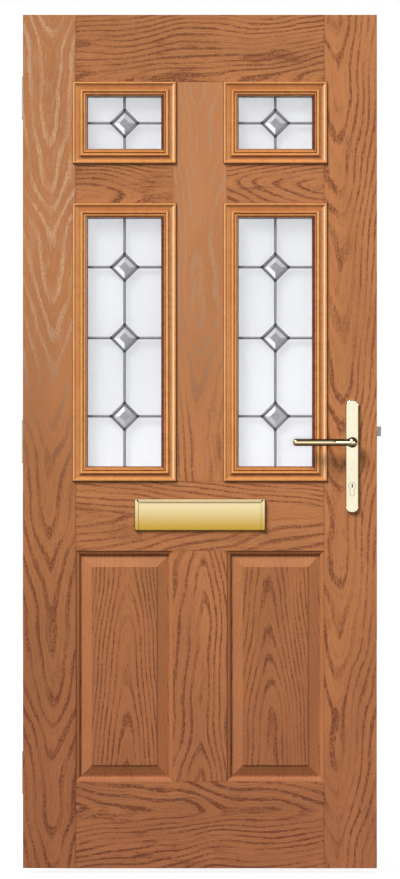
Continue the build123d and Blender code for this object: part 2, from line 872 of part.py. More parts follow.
frame_solid = letter_frame()
flap_solid = letter_flap()
with BuildPart() as letter_outer_frame:
    add(frame_solid)
    for side in (-1, 1):
        thread = rod(
            (side * letter_bolt_x, outside_y, letter_z),
            (0, -1, 0),
            letter_bolt_radius + shaft_gap,
            letter_bolt_depth + fit_gap,
        )
        add(thread, mode=Mode.SUBTRACT)
save(letter_outer_frame, "letter_outer_frame")
letter_head_y = inside_y + letter_cap_height
with BuildPart() as letter_inner_frame:
    mirror(frame_solid, about=Plane.XZ)
    for side in (-1, 1):
        start = (side * letter_bolt_x, letter_head_y, letter_z)
        add(rod(start, (0, -1, 0), letter_bolt_radius + shaft_gap, letter_cap_height), mode=Mode.SUBTRACT)
        add(rod(start, (0, -1, 0), letter_bolt_head_radius + shaft_gap, letter_bolt_head), mode=Mode.SUBTRACT)
save(letter_inner_frame, "letter_inner_frame")
with BuildPart() as letter_bolts:
    for side in (-1, 1):
        start = (side * letter_bolt_x, letter_head_y, letter_z)
        bolt_length = letter_cap_height + leaf_thickness + letter_bolt_depth
        add(rod(start, (0, -1, 0), letter_bolt_radius, bolt_length))
        add(rod(start, (0, -1, 0), letter_bolt_head_radius, letter_bolt_head))
save(letter_bolts, "letter_bolts")
with BuildPart() as letter_outer_flap:
    add(flap_solid)
save(letter_outer_flap, "letter_outer_flap")
with BuildPart() as letter_inner_flap:
    mirror(flap_solid, about=Plane.XZ)
save(letter_inner_flap, "letter_inner_flap")
with BuildPart() as letter_flap_pins:
    pin = rod((-flap_pin_length / 2, flap_axis_y, flap_axis_z), (1, 0, 0), flap_pin_radius, flap_pin_length)
    add(pin)
    mirror(pin, about=Plane.XZ)
save(letter_flap_pins, "letter_flap_pins")
with BuildPart() as letter_sleeve:
    with BuildSketch(at_depth(inside_y)):
        with Locations((0, slot_z)):
            Rectangle(slot_width + 2 * sleeve_wall, slot_height + 2 * sleeve_wall)
            Rectangle(slot_width, slot_height, mode=Mode.SUBTRACT)
    extrude(amount=leaf_thickness)
save(letter_sleeve, "letter_sleeve")


# Lever handles: hollow long plates, round levers on a square spindle
def handle_plate():
    """Hollow backplate with rounded ends on the outside face."""
    with BuildPart() as piece:
        with BuildSketch(at_depth(outside_y)):
            with Locations((handle_x, handle_plate_z)):
                RectangleRounded(handle_plate_width, handle_plate_height, handle_plate_round)
        extrude(amount=handle_plate_thickness)
        fillet(piece.faces().sort_by(Axis.Y)[0].edges(), handle_plate_edge)
        with BuildSketch(at_depth(outside_y)):
            with Locations((handle_x, handle_plate_z)):
                RectangleRounded(
                    handle_plate_width - 2 * handle_plate_wall,
                    handle_plate_height - 2 * handle_plate_wall,
                    handle_plate_round - handle_plate_wall,
                )
        extrude(amount=handle_plate_thickness - handle_plate_wall, mode=Mode.SUBTRACT)
        with BuildSketch(at_depth(outside_y)):
            with Locations([(handle_x, bolt_z) for bolt_z in handle_bolt_heights]):
                Circle(handle_post_radius)
        extrude(amount=handle_plate_thickness - handle_plate_wall / 2)
        with BuildSketch(at_depth(outside_y)):
            with Locations((handle_x, lever_z)):
                Circle(lever_neck_radius + shaft_gap)
            with Locations((handle_x, cylinder_z)):
                add(cylinder_outline(fit_gap))
        extrude(amount=handle_plate_thickness + overrun, mode=Mode.SUBTRACT)
    return piece.part


def lever():
    """Round lever with a ball at its elbow and a socket for the spindle, on the outside face."""
    bar_y = plate_front_y - lever_neck_length
    straight_end = lever_length - lever_radius
    with BuildLine() as route:
        FilletPolyline(
            (handle_x, bar_y, lever_z),
            (handle_x - lever_crank, bar_y - lever_crank_offset, lever_z),
            (handle_x - straight_end, bar_y - lever_tip_offset, lever_z),
            radius=lever_bend_radius,
        )
    with BuildPart() as piece:
        add(
            rod(
                (handle_x, outside_y - fit_gap, lever_z),
                (0, -1, 0),
                lever_neck_radius,
                outside_y - fit_gap - bar_y,
            ),
        )
        with Locations((handle_x, bar_y, lever_z)):
            Sphere(lever_ball_radius)
        with BuildSketch(Plane(origin=route.wire() @ 0, z_dir=route.wire() % 0)):
            Circle(lever_radius)
        sweep(path=route.wire())
        with Locations(route.wire() @ 1):
            Sphere(lever_radius)
        with BuildSketch(at_depth(outside_y)):
            with Locations((handle_x, lever_z)):
                Rectangle(spindle_side + 2 * shaft_gap, spindle_side + 2 * shaft_gap)
        extrude(amount=spindle_bite + fit_gap, mode=Mode.SUBTRACT)
    return piece.part


plate_solid = handle_plate()
lever_solid = lever()
with BuildPart() as outer_handle_plate:
    add(plate_solid)
    for bolt_z in handle_bolt_heights:
        thread_depth = handle_plate_thickness - handle_plate_wall
        add(
            rod(
                (handle_x, outside_y, bolt_z),
                (0, -1, 0),
                handle_bolt_radius + shaft_gap,
                thread_depth + fit_gap,
            ),
            mode=Mode.SUBTRACT,
        )
save(outer_handle_plate, "outer_handle_plate")
handle_head_y = inside_y + handle_plate_thickness
with BuildPart() as inner_handle_plate:
    mirror(plate_solid, about=Plane.XZ)
    for bolt_z in handle_bolt_heights:
        start = (handle_x, handle_head_y, bolt_z)
        add(
            rod(start, (0, -1, 0), handle_bolt_radius + shaft_gap, handle_plate_thickness),
            mode=Mode.SUBTRACT,
        )
        add(rod(start, (0, -1, 0), handle_bolt_head_radius + shaft_gap, handle_bolt_head), mode=Mode.SUBTRACT)
save(inner_handle_plate, "inner_handle_plate")
with BuildPart() as handle_bolts:
    for bolt_z in handle_bolt_heights:
        start = (handle_x, handle_head_y, bolt_z)
        bolt_length = 2 * handle_plate_thickness - handle_plate_wall + leaf_thickness
        add(rod(start, (0, -1, 0), handle_bolt_radius, bolt_length))
        add(rod(start, (0, -1, 0), handle_bolt_head_radius, handle_bolt_head))
save(handle_bolts, "handle_bolts")
with BuildPart() as outer_lever:
    add(lever_solid)
save(outer_lever, "outer_lever")
with BuildPart() as inner_lever:
    mirror(lever_solid, about=Plane.XZ)
save(inner_lever, "inner_lever")
with BuildPart() as spindle:
    with BuildSketch(at_depth(inside_y + spindle_bite)):
        with Locations((handle_x, lever_z)):
            Rectangle(spindle_side, spindle_side)
    extrude(amount=leaf_thickness + 2 * spindle_bite)
save(spindle, "spindle")

# Key cylinder: profile body, key plug outside, cam in the gap, thumb turn inside
cylinder_front_y = plate_front_y - cylinder_proud
with BuildPart() as cylinder_body:
    with BuildSketch(at_depth(-cylinder_front_y)):
        with Locations((handle_x, cylinder_z)):
            add(cylinder_outline(0))
    extrude(amount=-2 * cylinder_front_y)
    with BuildSketch(at_depth(cam_gap / 2)):
        with Locations((handle_x, cylinder_z - bridge_drop)):
            Rectangle(2 * cylinder_radius + 2 * overrun, cylinder_height, align=(Align.CENTER, Align.MIN))
    extrude(amount=cam_gap, mode=Mode.SUBTRACT)
    plug_bore = rod(
        (handle_x, -cylinder_front_y, cylinder_z),
        (0, -1, 0),
        plug_radius + shaft_gap,
        -2 * cylinder_front_y,
    )
    add(plug_bore, mode=Mode.SUBTRACT)
    screw_z = cylinder_z - cylinder_screw_drop
    screw_bore = rod(
        (handle_x + cylinder_web, 0, screw_z),
        (-1, 0, 0),
        cylinder_screw_radius + shaft_gap,
        2 * cylinder_web,
    )
    add(screw_bore, mode=Mode.SUBTRACT)
save(cylinder_body, "cylinder_body")
plug_length = -cylinder_front_y - cam_gap / 2
with BuildPart() as cylinder_plug:
    add(rod((handle_x, cylinder_front_y, cylinder_z), (0, 1, 0), plug_radius, plug_length))
    with BuildSketch(at_depth(cylinder_front_y + keyway_depth)):
        with Locations((handle_x, cylinder_z)):
            Rectangle(keyway_width, keyway_height)
    extrude(amount=keyway_depth + overrun, mode=Mode.SUBTRACT)
save(cylinder_plug, "cylinder_plug")
cam_length = cam_gap - 2 * fit_gap
with BuildPart() as cylinder_cam:
    with BuildSketch(at_depth(cam_length / 2)):
        with Locations((handle_x, cylinder_z)):
            Circle(cam_radius)
            Rectangle(cam_width, cam_reach, align=(Align.CENTER, Align.MAX))
    extrude(amount=cam_length)
save(cylinder_cam, "cylinder_cam")
with BuildPart() as thumb_turn:
    add(
        rod(
            (handle_x, -cylinder_front_y + thumb_neck, cylinder_z),
            (0, -1, 0),
            plug_radius,
            plug_length + thumb_neck,
        ),
    )
    with BuildSketch(at_depth(-cylinder_front_y + thumb_neck + thumb_depth)):
        with Locations((handle_x, cylinder_z)):
            SlotOverall(thumb_height, thumb_width, rotation=90)
    extrude(amount=thumb_depth)
    fillet(thumb_turn.faces().sort_by(Axis.Y)[-1].edges(), letter_edge_round)
save(thumb_turn, "thumb_turn")

# Lock: faceplate, gear case, follower, latch, dead bolt, two hooks and their drive rail
case_half = faceplate_width / 2
cavity_half = case_half - case_wall
rail_front_x = face_back_x - fit_gap
rail_back_x = rail_front_x - drive_rail_thickness
rail_low_z = hook_pivot_heights[0] - hook_case_below - drive_rail_end / 2
rail_high_z = hook_pivot_heights[-1] + drive_rail_end
case_back_x = handle_x - case_tail
case_low_z = cylinder_z - case_below
case_high_z = lever_z + case_above
rail_channel = block(
    (rail_back_x - fit_gap, -drive_rail_width / 2 - fit_gap, rail_low_z - fit_gap),
    (face_back_x, drive_rail_width / 2 + fit_gap, rail_high_z + drive_rail_travel + fit_gap),
)
case_spans = [(case_back_x, case_low_z, case_high_z)] + [
    (face_back_x - hook_case_depth, pivot_z - hook_case_below, pivot_z + hook_case_above)
    for pivot_z in hook_pivot_heights
]


def lock_box(back_x, low_z, high_z):
    """Folded steel case, open towards the faceplate and notched for the drive rail."""
    with BuildPart() as piece:
        add(block((back_x, -case_half, low_z), (face_back_x, case_half, high_z)))
        hollow = block(
            (back_x + case_wall, -cavity_half, low_z + case_wall),
            (face_back_x + overrun, cavity_half, high_z - case_wall),
        )
        add(hollow, mode=Mode.SUBTRACT)
        add(rail_channel, mode=Mode.SUBTRACT)
    return piece.part


with BuildPart() as lock_case:
    add(lock_box(*case_spans[0]))
    with BuildSketch(at_depth(case_half + overrun)):
        with Locations((handle_x, lever_z)):
            Circle(follower_collar_radius + shaft_gap)
        with Locations((handle_x, cylinder_z)):
            add(cylinder_outline(fit_gap))
    extrude(amount=2 * (case_half + overrun), mode=Mode.SUBTRACT)
save(lock_case, "lock_case")
hook_pivot_x = face_back_x - hook_pivot_depth
with BuildPart() as hook_cases:
    for span in case_spans[1:]:
        add(lock_box(*span))
    for pivot_z in hook_pivot_heights:
        add(rod((hook_pivot_x, -cavity_half, pivot_z), (0, 1, 0), hook_pin_radius, 2 * cavity_half))
save(hook_cases, "hook_cases")
with BuildPart() as lock_follower:
    add(rod((handle_x, -case_half, lever_z), (0, 1, 0), follower_collar_radius, 2 * case_half))
    add(
        rod(
            (handle_x, -cavity_half + fit_gap, lever_z),
            (0, 1, 0),
            follower_radius,
            2 * (cavity_half - fit_gap),
        ),
    )
    arm_half = latch_tail_thickness / 2
    with BuildSketch(at_depth(arm_half)):
        with Locations((handle_x, lever_z)):
            Rectangle(follower_arm_width, follower_arm_reach, align=(Align.CENTER, Align.MIN))
    extrude(amount=2 * arm_half)
    with BuildSketch(at_depth(case_half + overrun)):
        with Locations((handle_x, lever_z)):
            Rectangle(spindle_side + 2 * shaft_gap, spindle_side + 2 * shaft_gap)
    extrude(amount=2 * (case_half + overrun), mode=Mode.SUBTRACT)
save(lock_follower, "lock_follower")

latch_front_x = edge_x + latch_throw
latch_back_x = latch_front_x - latch_throw - faceplate_thickness - latch_head_length
hook_face_x = handle_x - follower_arm_width / 2 - latch_hook_gap
tail_low_z = lever_z + follower_arm_reach + overrun
with BuildPart() as latch_bolt:
    with BuildSketch(Plane.XY.offset(latch_z - latch_height / 2)):
        with BuildLine():
            Polyline(
                (latch_back_x, -latch_thickness / 2),
                (edge_x, -latch_thickness / 2),
                (latch_front_x, latch_thickness / 4),
                (latch_front_x, latch_thickness / 2),
                (latch_back_x, latch_thickness / 2),
                close=True,
            )
        make_face()
    extrude(amount=latch_height)
    tail_half = latch_tail_thickness / 2
    tail_end_x = hook_face_x - latch_hook_width
    add(
        block(
            (tail_end_x, -tail_half, tail_low_z),
            (latch_back_x, tail_half, tail_low_z + latch_tail_height),
        ),
    )
    add(block((tail_end_x, -tail_half, tail_low_z - latch_hook_drop), (hook_face_x, tail_half, tail_low_z)))
save(latch_bolt, "latch_bolt")
dead_bolt_front_x = edge_x - dead_bolt_setback
with BuildPart() as dead_bolt:
    add(
        block(
            (
                dead_bolt_front_x - dead_bolt_length,
                -dead_bolt_thickness / 2,
                dead_bolt_z - dead_bolt_height / 2,
            ),
            (dead_bolt_front_x, dead_bolt_thickness / 2, dead_bolt_z + dead_bolt_height / 2),
        )
    )
save(dead_bolt, "dead_bolt")


def lock_hook(pivot_z):
    """Swinging hook at rest, hanging down from its pivot inside the case."""
    with BuildPart() as piece:
        with BuildSketch(at_depth(hook_thickness / 2)):
            with Locations((hook_pivot_x, pivot_z)):
                Circle(hook_boss_radius)
                Rectangle(hook_arm_width, hook_reach, align=(Align.CENTER, Align.MAX))
            with Locations((hook_pivot_x, pivot_z - hook_reach)):
                Rectangle(hook_claw, hook_claw_height, align=(Align.MIN, Align.MIN))
            with Locations((hook_pivot_x, pivot_z)):
                Circle(hook_pin_radius + shaft_gap, mode=Mode.SUBTRACT)
        extrude(amount=hook_thickness)
        claw_edges = piece.edges().filter_by(Axis.Y).group_by(Axis.Z)[0]
        fillet(claw_edges, hook_pin_radius)
    return piece.part


for place, pivot_z in zip(("lower", "upper"), hook_pivot_heights):
    with BuildPart() as hook:
        add(lock_hook(pivot_z))
    save(hook, f"{place}_hook")

# Slots in the faceplate and the rail: width across the door, lowest and highest point
bolt_slots = [
    (
        latch_thickness + 2 * fit_gap,
        latch_z - latch_height / 2 - fit_gap,
        latch_z + latch_height / 2 + fit_gap,
    ),
    (
        dead_bolt_thickness + 2 * fit_gap,
        dead_bolt_z - dead_bolt_height / 2 - fit_gap,
        dead_bolt_z + dead_bolt_height / 2 + fit_gap,
    ),
] + [
    (hook_thickness + 2 * fit_gap, pivot_z - hook_reach - hook_slot_above / 2, pivot_z + hook_slot_above)
    for pivot_z in hook_pivot_heights
]
cylinder_screw_z = cylinder_z - cylinder_screw_drop
rail_screw_heights = [z for z in faceplate_screw_heights if rail_low_z < z < rail_high_z] + [cylinder_screw_z]
screw_slots = [
    (
        2 * (wood_screw_head_radius + fit_gap),
        z - wood_screw_head_radius - fit_gap,
        z + wood_screw_head_radius + fit_gap,
    )
    for z in rail_screw_heights
]
with BuildPart() as lock_faceplate:
    add(block((face_back_x, -case_half, faceplate_bottom), (edge_x, case_half, faceplate_top)))
    for width, low, high in bolt_slots:
        add(
            block((face_back_x - overrun, -width / 2, low), (edge_x + overrun, width / 2, high)),
            mode=Mode.SUBTRACT,
        )
    with Locations(
        [Location((edge_x, 0, z), (0, 90, 0)) for z in faceplate_screw_heights + (cylinder_screw_z,)]
    ):
        CounterSinkHole(
            cylinder_screw_radius + shaft_gap,
            wood_screw_head_radius + shaft_gap,
            faceplate_thickness,
            90,
        )
save(lock_faceplate, "lock_faceplate")
with BuildPart() as drive_rail:
    add(
        block(
            (rail_back_x, -drive_rail_width / 2, rail_low_z),
            (rail_front_x, drive_rail_width / 2, rail_high_z),
        ),
    )
    for width, low, high in bolt_slots + screw_slots:
        slot = block(
            (rail_back_x - overrun, -width / 2, low - drive_rail_travel),
            (rail_front_x + overrun, width / 2, high),
        )
        add(slot, mode=Mode.SUBTRACT)
save(drive_rail, "drive_rail")
with BuildPart() as faceplate_screws:
    for z in faceplate_screw_heights:
        add(
            countersunk_screw(
                (edge_x, 0, z), (-1, 0, 0), wood_screw_radius, wood_screw_head_radius, wood_screw_length
            ),
        )
save(faceplate_screws, "faceplate_screws")
with BuildPart() as cylinder_screw:
    length = edge_x - handle_x + cylinder_web / 2
    start = (edge_x, 0, cylinder_screw_z)
    add(countersunk_screw(start, (-1, 0, 0), cylinder_screw_radius, wood_screw_head_radius, length))
save(cylinder_screw, "cylinder_screw")

# Timber lock stile, cut out for the whole lock
with BuildPart() as lock_stile:
    add(block((rail_high_x, -core_y, 0), (edge_x, core_y, leaf_height)))
    faceplate_recess = block(
        (face_back_x, -case_half - fit_gap, faceplate_bottom - fit_gap),
        (edge_x + overrun, case_half + fit_gap, faceplate_top + fit_gap),
    )
    add(faceplate_recess, mode=Mode.SUBTRACT)
    add(rail_channel, mode=Mode.SUBTRACT)
    for back_x, low_z, high_z in case_spans:
        pocket = block(
            (back_x - fit_gap, -case_half - fit_gap, low_z - fit_gap),
            (face_back_x + overrun, case_half + fit_gap, high_z + fit_gap),
        )
        add(pocket, mode=Mode.SUBTRACT)
    for z in faceplate_screw_heights:
        pilot = rod((edge_x, 0, z), (-1, 0, 0), wood_screw_radius + shaft_gap, wood_screw_length + shaft_gap)
        add(pilot, mode=Mode.SUBTRACT)
    add(leaf_openings.part, mode=Mode.SUBTRACT)
save(lock_stile, "lock_stile")
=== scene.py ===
import math

import bmesh
import bpy
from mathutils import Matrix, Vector


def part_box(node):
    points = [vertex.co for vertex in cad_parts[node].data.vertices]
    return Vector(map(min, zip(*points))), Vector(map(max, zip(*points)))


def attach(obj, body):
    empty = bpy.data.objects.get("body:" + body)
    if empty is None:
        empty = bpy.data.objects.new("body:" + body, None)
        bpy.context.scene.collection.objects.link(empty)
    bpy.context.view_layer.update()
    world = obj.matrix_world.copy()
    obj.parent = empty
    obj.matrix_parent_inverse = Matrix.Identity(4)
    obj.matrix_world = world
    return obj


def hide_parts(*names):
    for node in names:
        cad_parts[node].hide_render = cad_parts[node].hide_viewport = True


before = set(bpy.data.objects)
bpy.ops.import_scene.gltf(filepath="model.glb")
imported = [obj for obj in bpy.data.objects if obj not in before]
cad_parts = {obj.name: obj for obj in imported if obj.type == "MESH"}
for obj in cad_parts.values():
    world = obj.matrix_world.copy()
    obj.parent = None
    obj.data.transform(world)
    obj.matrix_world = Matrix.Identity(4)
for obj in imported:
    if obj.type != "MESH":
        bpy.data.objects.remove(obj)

bl_info = {
    "name": "Panelled Front Door",
    "version": (1, 0, 0),
    "blender": (4, 5, 0),
    "location": "View3D > Sidebar > Door",
    "description": "Dresses a panelled front door in oak grain, mouldings, leaded glass and polished brass",
    "category": "Object",
}

LIGHTS = ("upper_left", "upper_right", "main_left", "main_right")
DIAMOND_SHARES = {"upper": (0.5,), "main": (0.203, 0.518, 0.803)}
MOULDINGS = [f"{side}_cassette_{light}" for side in ("outer", "inner") for light in LIGHTS]
QUARTERS = ((1, 0), (0, 1), (-1, 0), (0, -1))
# Places across the glazing moulding, from lip to glass, and how light the foil is painted there, as painted
# highlight on the crests and painted shade in the hollows: lip, round, hollow, bead, quirk, bead and sight
# edge
MOULDING_PAINTED_LIGHT = (
    (0.0, 0.25), (0.07, 0.78), (0.12, 0.42), (0.205, 0.56), (0.34, 0.18), (0.48, 0.05), (0.575, 0.30),
    (0.62, 1.0), (0.665, 0.34), (0.73, 0.04), (0.795, 0.28), (0.83, 0.74), (0.87, 0.26), (0.98, 0.04),
)


def length(name, description, default):
    """A size in metres that a user may change."""
    return bpy.props.FloatProperty(name=name, description=description, default=default, unit="LENGTH")


def tint(name, description, default):
    """A colour that a user may change."""
    return bpy.props.FloatVectorProperty(
        name=name, description=description, default=default, subtype="COLOR"
    )


class DoorSizes(bpy.types.PropertyGroup):
    """Layout of the leaf's boards and the small shapes added in the looks"""

    stile: length("Stile", "Width of the upright boards", 0.129)
    muntin: length("Muntin", "Width of the middle upright", 0.131)
    bottom_rail: length("Bottom rail", "Height of the lowest rail", 0.212)
    panel: length("Panel", "Height of the lower panels", 0.563)
    pore_depth: length("Grain depth", "Depth of the embossed grain", 0.0005)
    # This radius also sizes the dark beads that are painted shadow lines.
    seal_and_shadow_line: length("Seal", "Radius of the glazing and plate seals", 0.0013)
    solder: length("Solder", "Radius of a solder knot", 0.0042)
    crown: length("Lead crown", "Radius of the bright crown along the lead", 0.0024)
    diamond: length("Diamond", "Half diagonal of a leaded diamond", 0.0323)
    # Radius of the dark spots that are painted shadow of the gaps beside the letter flap.
    pivot_gap_shadow: length("Pivot gap", "Radius of the gaps beside the letter flap", 0.0026)
    moulding: length("Moulding", "Width of the glazing moulding", 0.0355)


class DoorColours(bpy.types.PropertyGroup):
    """Colours of the door's finishes"""

    oak: tint("Oak", "Light part of the grain", (0.462, 0.181, 0.064))
    oak_line: tint("Oak line", "Dark lines of the grain", (0.200, 0.062, 0.022))
    # Painted highlight: grain lines high on the leaf are drawn in this pale colour.
    oak_painted_sheen: tint("Oak sheen", "Grain that catches the light", (0.770, 0.480, 0.270))
    # Lit and shaded copies of the foil: crests take the painted highlight, hollows the painted shade.
    cassette: tint("Moulding", "Crests of the glazing mouldings", (0.880, 0.435, 0.150))
    hollow: tint("Hollow", "Hollows of the glazing mouldings", (0.435, 0.144, 0.030))
    gold: tint("Gold", "Polished handle and cylinder", (1.000, 0.895, 0.660))
    # Letter plate colours are a painted reflection, pale at the top and deep at the foot.
    plate_reflection_top: tint("Plate top", "Letter plate at its top", (0.862, 0.705, 0.390))
    plate_reflection_foot: tint("Plate foot", "Letter plate at its foot", (0.570, 0.340, 0.022))
    # Lead sides nearly black as painted shade; the crown lighter as a painted highlight.
    lead: tint("Lead", "Sides of the leadwork", (0.020, 0.021, 0.024))
    lead_crown: tint("Lead crown", "Crown of the leadwork", (0.270, 0.275, 0.290))
    glass: tint("Glass", "Obscure glass", (0.830, 0.838, 0.870))
    # Dark of the glass seals and of the painted shadow lines round mouldings, plates and cylinder.
    seal_and_shadow_dark: tint("Rubber", "Seals round glass and plates", (0.060, 0.028, 0.016))
    steel: tint("Steel", "Lock and screws", (0.560, 0.560, 0.570))
    plating: tint("Plating", "Latch and dead bolt", (0.800, 0.790, 0.770))
    timber: tint("Timber", "Bare edges of the leaf", (0.480, 0.300, 0.150))


class Field:
    """A value made by shader nodes, so that a finish reads as a formula."""

    def __init__(self, tree, socket):
        self.tree = tree
        self.socket = socket

    def math(self, operation, *others):
        node = self.tree.nodes.new("ShaderNodeMath")
        node.operation = operation
        self.tree.links.new(self.socket, node.inputs[0])
        for place, other in enumerate(others, start=1):
            if isinstance(other, Field):
                self.tree.links.new(other.socket, node.inputs[place])
            else:
                node.inputs[place].default_value = other
        return Field(self.tree, node.outputs[0])

    def __add__(self, other):
        return self.math("ADD", other)

    def __sub__(self, other):
        return self.math("SUBTRACT", other)

    def __mul__(self, other):
        return self.math("MULTIPLY", other)

    def step(self, low, high):
        """Smooth rise from 0 at low to 1 at high."""
        node = self.tree.nodes.new("ShaderNodeMapRange")
        node.interpolation_type = "SMOOTHSTEP"
        self.tree.links.new(self.socket, node.inputs["Value"])
        node.inputs["From Min"].default_value = low
        node.inputs["From Max"].default_value = high
        return Field(self.tree, node.outputs["Result"])


class Finish:
    """One procedural material with its Principled shader."""

    def __init__(self, name, **sockets):
        self.material = bpy.data.materials.new(name)
        self.material.use_nodes = True
        self.tree = self.material.node_tree
        self.shader = self.tree.nodes["Principled BSDF"]
        for socket, value in sockets.items():
            self.shader.inputs[socket.replace("_", " ").title().replace("Ior", "IOR")].default_value = value

    def node(self, kind, **settings):
        made = self.tree.nodes.new(kind)
        for key, value in settings.items():
            setattr(made, key, value)
        return made

    def place(self):
        """Object coordinates as three fields."""
        return self.split(self.node("ShaderNodeTexCoord").outputs["Object"])

    def attribute(self, name):
        """Three fields of a vector stored on the mesh."""
        return self.split(self.node("ShaderNodeAttribute", attribute_name=name).outputs["Vector"])

    def split(self, socket):
        node = self.node("ShaderNodeSeparateXYZ")
        self.tree.links.new(socket, node.inputs[0])
        return [Field(self.tree, output) for output in node.outputs]

    def noise(self, x, y, z, scale=1.0, detail=2.0, roughness=0.5):
        """Cloud noise from 0 to 1 at a place given by three fields."""
        join = self.node("ShaderNodeCombineXYZ")
        for socket, field in zip(join.inputs, (x, y, z)):
            self.tree.links.new(field.socket, socket)
        node = self.node("ShaderNodeTexNoise")
        self.tree.links.new(join.outputs[0], node.inputs["Vector"])
        node.inputs["Scale"].default_value = scale
        node.inputs["Detail"].default_value = detail
        node.inputs["Roughness"].default_value = roughness
        return Field(self.tree, node.outputs["Fac"])

    def blend(self, share, first, second, kind="MIX"):
        """Colour socket between two colours, each a tuple or a socket."""
        node = self.node("ShaderNodeMix", data_type="RGBA", blend_type=kind)
        self.tree.links.new(share.socket, node.inputs[0])
        for socket, colour in ((node.inputs[6], first), (node.inputs[7], second)):
            if isinstance(colour, bpy.types.NodeSocket):
                self.tree.links.new(colour, socket)
            else:
                socket.default_value = (*colour[:3], 1.0)
        return node.outputs[2]

    def ramp(self, field, stops):
        """Field that eases between levels at places from 0 to 1."""
        node = self.node("ShaderNodeValToRGB")
        node.color_ramp.interpolation = "EASE"
        elements = node.color_ramp.elements
        elements.remove(elements[1])
        for rank, (place, level) in enumerate(stops):
            stop = elements.new(place) if rank else elements[0]
            stop.position = place
            stop.color = (level, level, level, 1.0)
        self.tree.links.new(field.socket, node.inputs[0])
        return Field(self.tree, node.outputs[0])

    def colour(self, socket):
        self.tree.links.new(socket, self.shader.inputs["Base Color"])

    def roughness(self, field):
        self.tree.links.new(field.socket, self.shader.inputs["Roughness"])

    def bump(self, height, depth, strength=1.0):
        node = self.node("ShaderNodeBump")
        node.inputs["Strength"].default_value = strength
        node.inputs["Distance"].default_value = depth
        self.tree.links.new(height.socket, node.inputs["Height"])
        self.tree.links.new(node.outputs["Normal"], self.shader.inputs["Normal"])


def shades(colour, low, high):
    """A colour made a little darker and a little lighter."""
    return [c * low for c in colour], [min(1.0, c * high) for c in colour]


def seen_rays(tree, path):
    """1 for rays from the camera or through glass."""
    camera = Field(tree, path.outputs["Is Camera Ray"])
    return camera.math("MAXIMUM", Field(tree, path.outputs["Is Transmission Ray"]))


def oak_finish(colours, sizes):
    """Embossed oak: nested growth lines, pores and a reddish fall towards the floor."""
    oak = Finish("embossed_oak", specular_ior_level=0.22)
    across, along, seed = oak.attribute("board_place")
    slope, rate, tilt = oak.attribute("board_figure")
    glint, blunt, wild = oak.attribute("board_light")
    strength, calm, smudge = oak.attribute("board_tone")
    shade = oak.attribute("board_shade")[0]
    height = oak.place()[2]
    sway = oak.noise(across * 7.0, along * 2.2, seed, detail=2.0) - 0.5
    drift = oak.noise(across * 2.0, along * 3.4, seed + 3.7, detail=1.5) - 0.5
    jag = oak.noise(across * 150.0, along * 30.0, seed + 6.2, detail=2.0) - 0.5
    bent = across + sway * wild * 0.045
    arch = (bent * bent + blunt * blunt).math("SQRT")
    rings = slope * arch + rate * along + tilt * bent + drift * wild * 4.0 + jag * 0.32
    patch = oak.noise(across * 26.0, along * 4.0, seed + 9.1, detail=3.0)
    phase = (rings + patch * 0.30).math("FRACT")
    line = phase.step(0.52, 0.62) - phase.step(0.82, 0.98)
    fine = (rings * 2.7).math("FRACT")
    thin = fine.step(0.56, 0.74) - fine.step(0.82, 1.0)
    fibre = oak.noise(across * 330.0, along * 26.0, seed, detail=2.0, roughness=0.65)
    ticks = fibre.step(0.40, 0.60)
    dots = oak.noise(across * 400.0, along * 150.0, seed + 17.9, detail=1.0).step(0.40, 0.60)
    blot = oak.noise(across * 30.0, along * 6.0, seed + 14.3, detail=3.0).step(0.58, 0.68) * smudge
    drawn = line * (patch.step(0.32, 0.60) * 0.82 + 0.18) + thin * 0.22 + blot * 0.60
    figure = drawn * (dots * 0.65 + 0.20 + ticks * 0.25)
    pores = oak.noise(across * 700.0, along * 60.0, seed + 5.3, detail=1.0).step(0.60, 0.74)
    kept = strength * (calm * -0.8 + 1.0)
    grain = ((figure + pores * 0.24 + ticks * 0.12) * kept).math("MINIMUM", 1.0)
    cloud = oak.noise(across * 14.0, along * 3.0, seed + 21.0, detail=2.0)
    base = oak.blend(cloud.step(0.25, 0.75), *shades(colours.oak, 0.91, 1.09))
    # Painted highlight: boards with a glint draw their lines in the sheen colour higher up the leaf.
    painted_sheen_share = glint * height.step(0.85, 1.50)
    line_colour = oak.blend(painted_sheen_share, colours.oak_line, colours.oak_painted_sheen)
    body = oak.blend(grain, base, line_colour)
    floor_tone, deep_and_shade_tone, joint_tone = (0.80, 0.73, 0.80), (0.70, 0.66, 0.66), (0.42, 0.36, 0.34)
    joint_reach, joint_core = 0.0016, 0.0004
    low = height.step(1.20, 0.0)
    fallen = oak.blend(low, body, floor_tone, "MULTIPLY")
    # Ground darker by each board's own depth, and on faces that look down also by a painted shade.
    ground = oak.blend(shade, fallen, deep_and_shade_tone, "MULTIPLY")
    # Pale speckle on sloping faces: painted highlight of the embossed grain.
    highlight_speckled = oak.blend(calm * dots * 0.13, ground, [c * 1.5 for c in colours.oak])
    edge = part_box("outer_skin")[1].x - sizes.stile
    joint = (oak.place()[0].math("ABSOLUTE") - edge).math("ABSOLUTE").step(joint_reach, joint_core)
    oak.colour(oak.blend(joint * 0.40, highlight_speckled, joint_tone, "MULTIPLY"))
    oak.roughness(grain * 0.14 + 0.50)
    oak.bump((grain * -1.0 + 1.0), sizes.pore_depth, 0.50)
    return oak.material


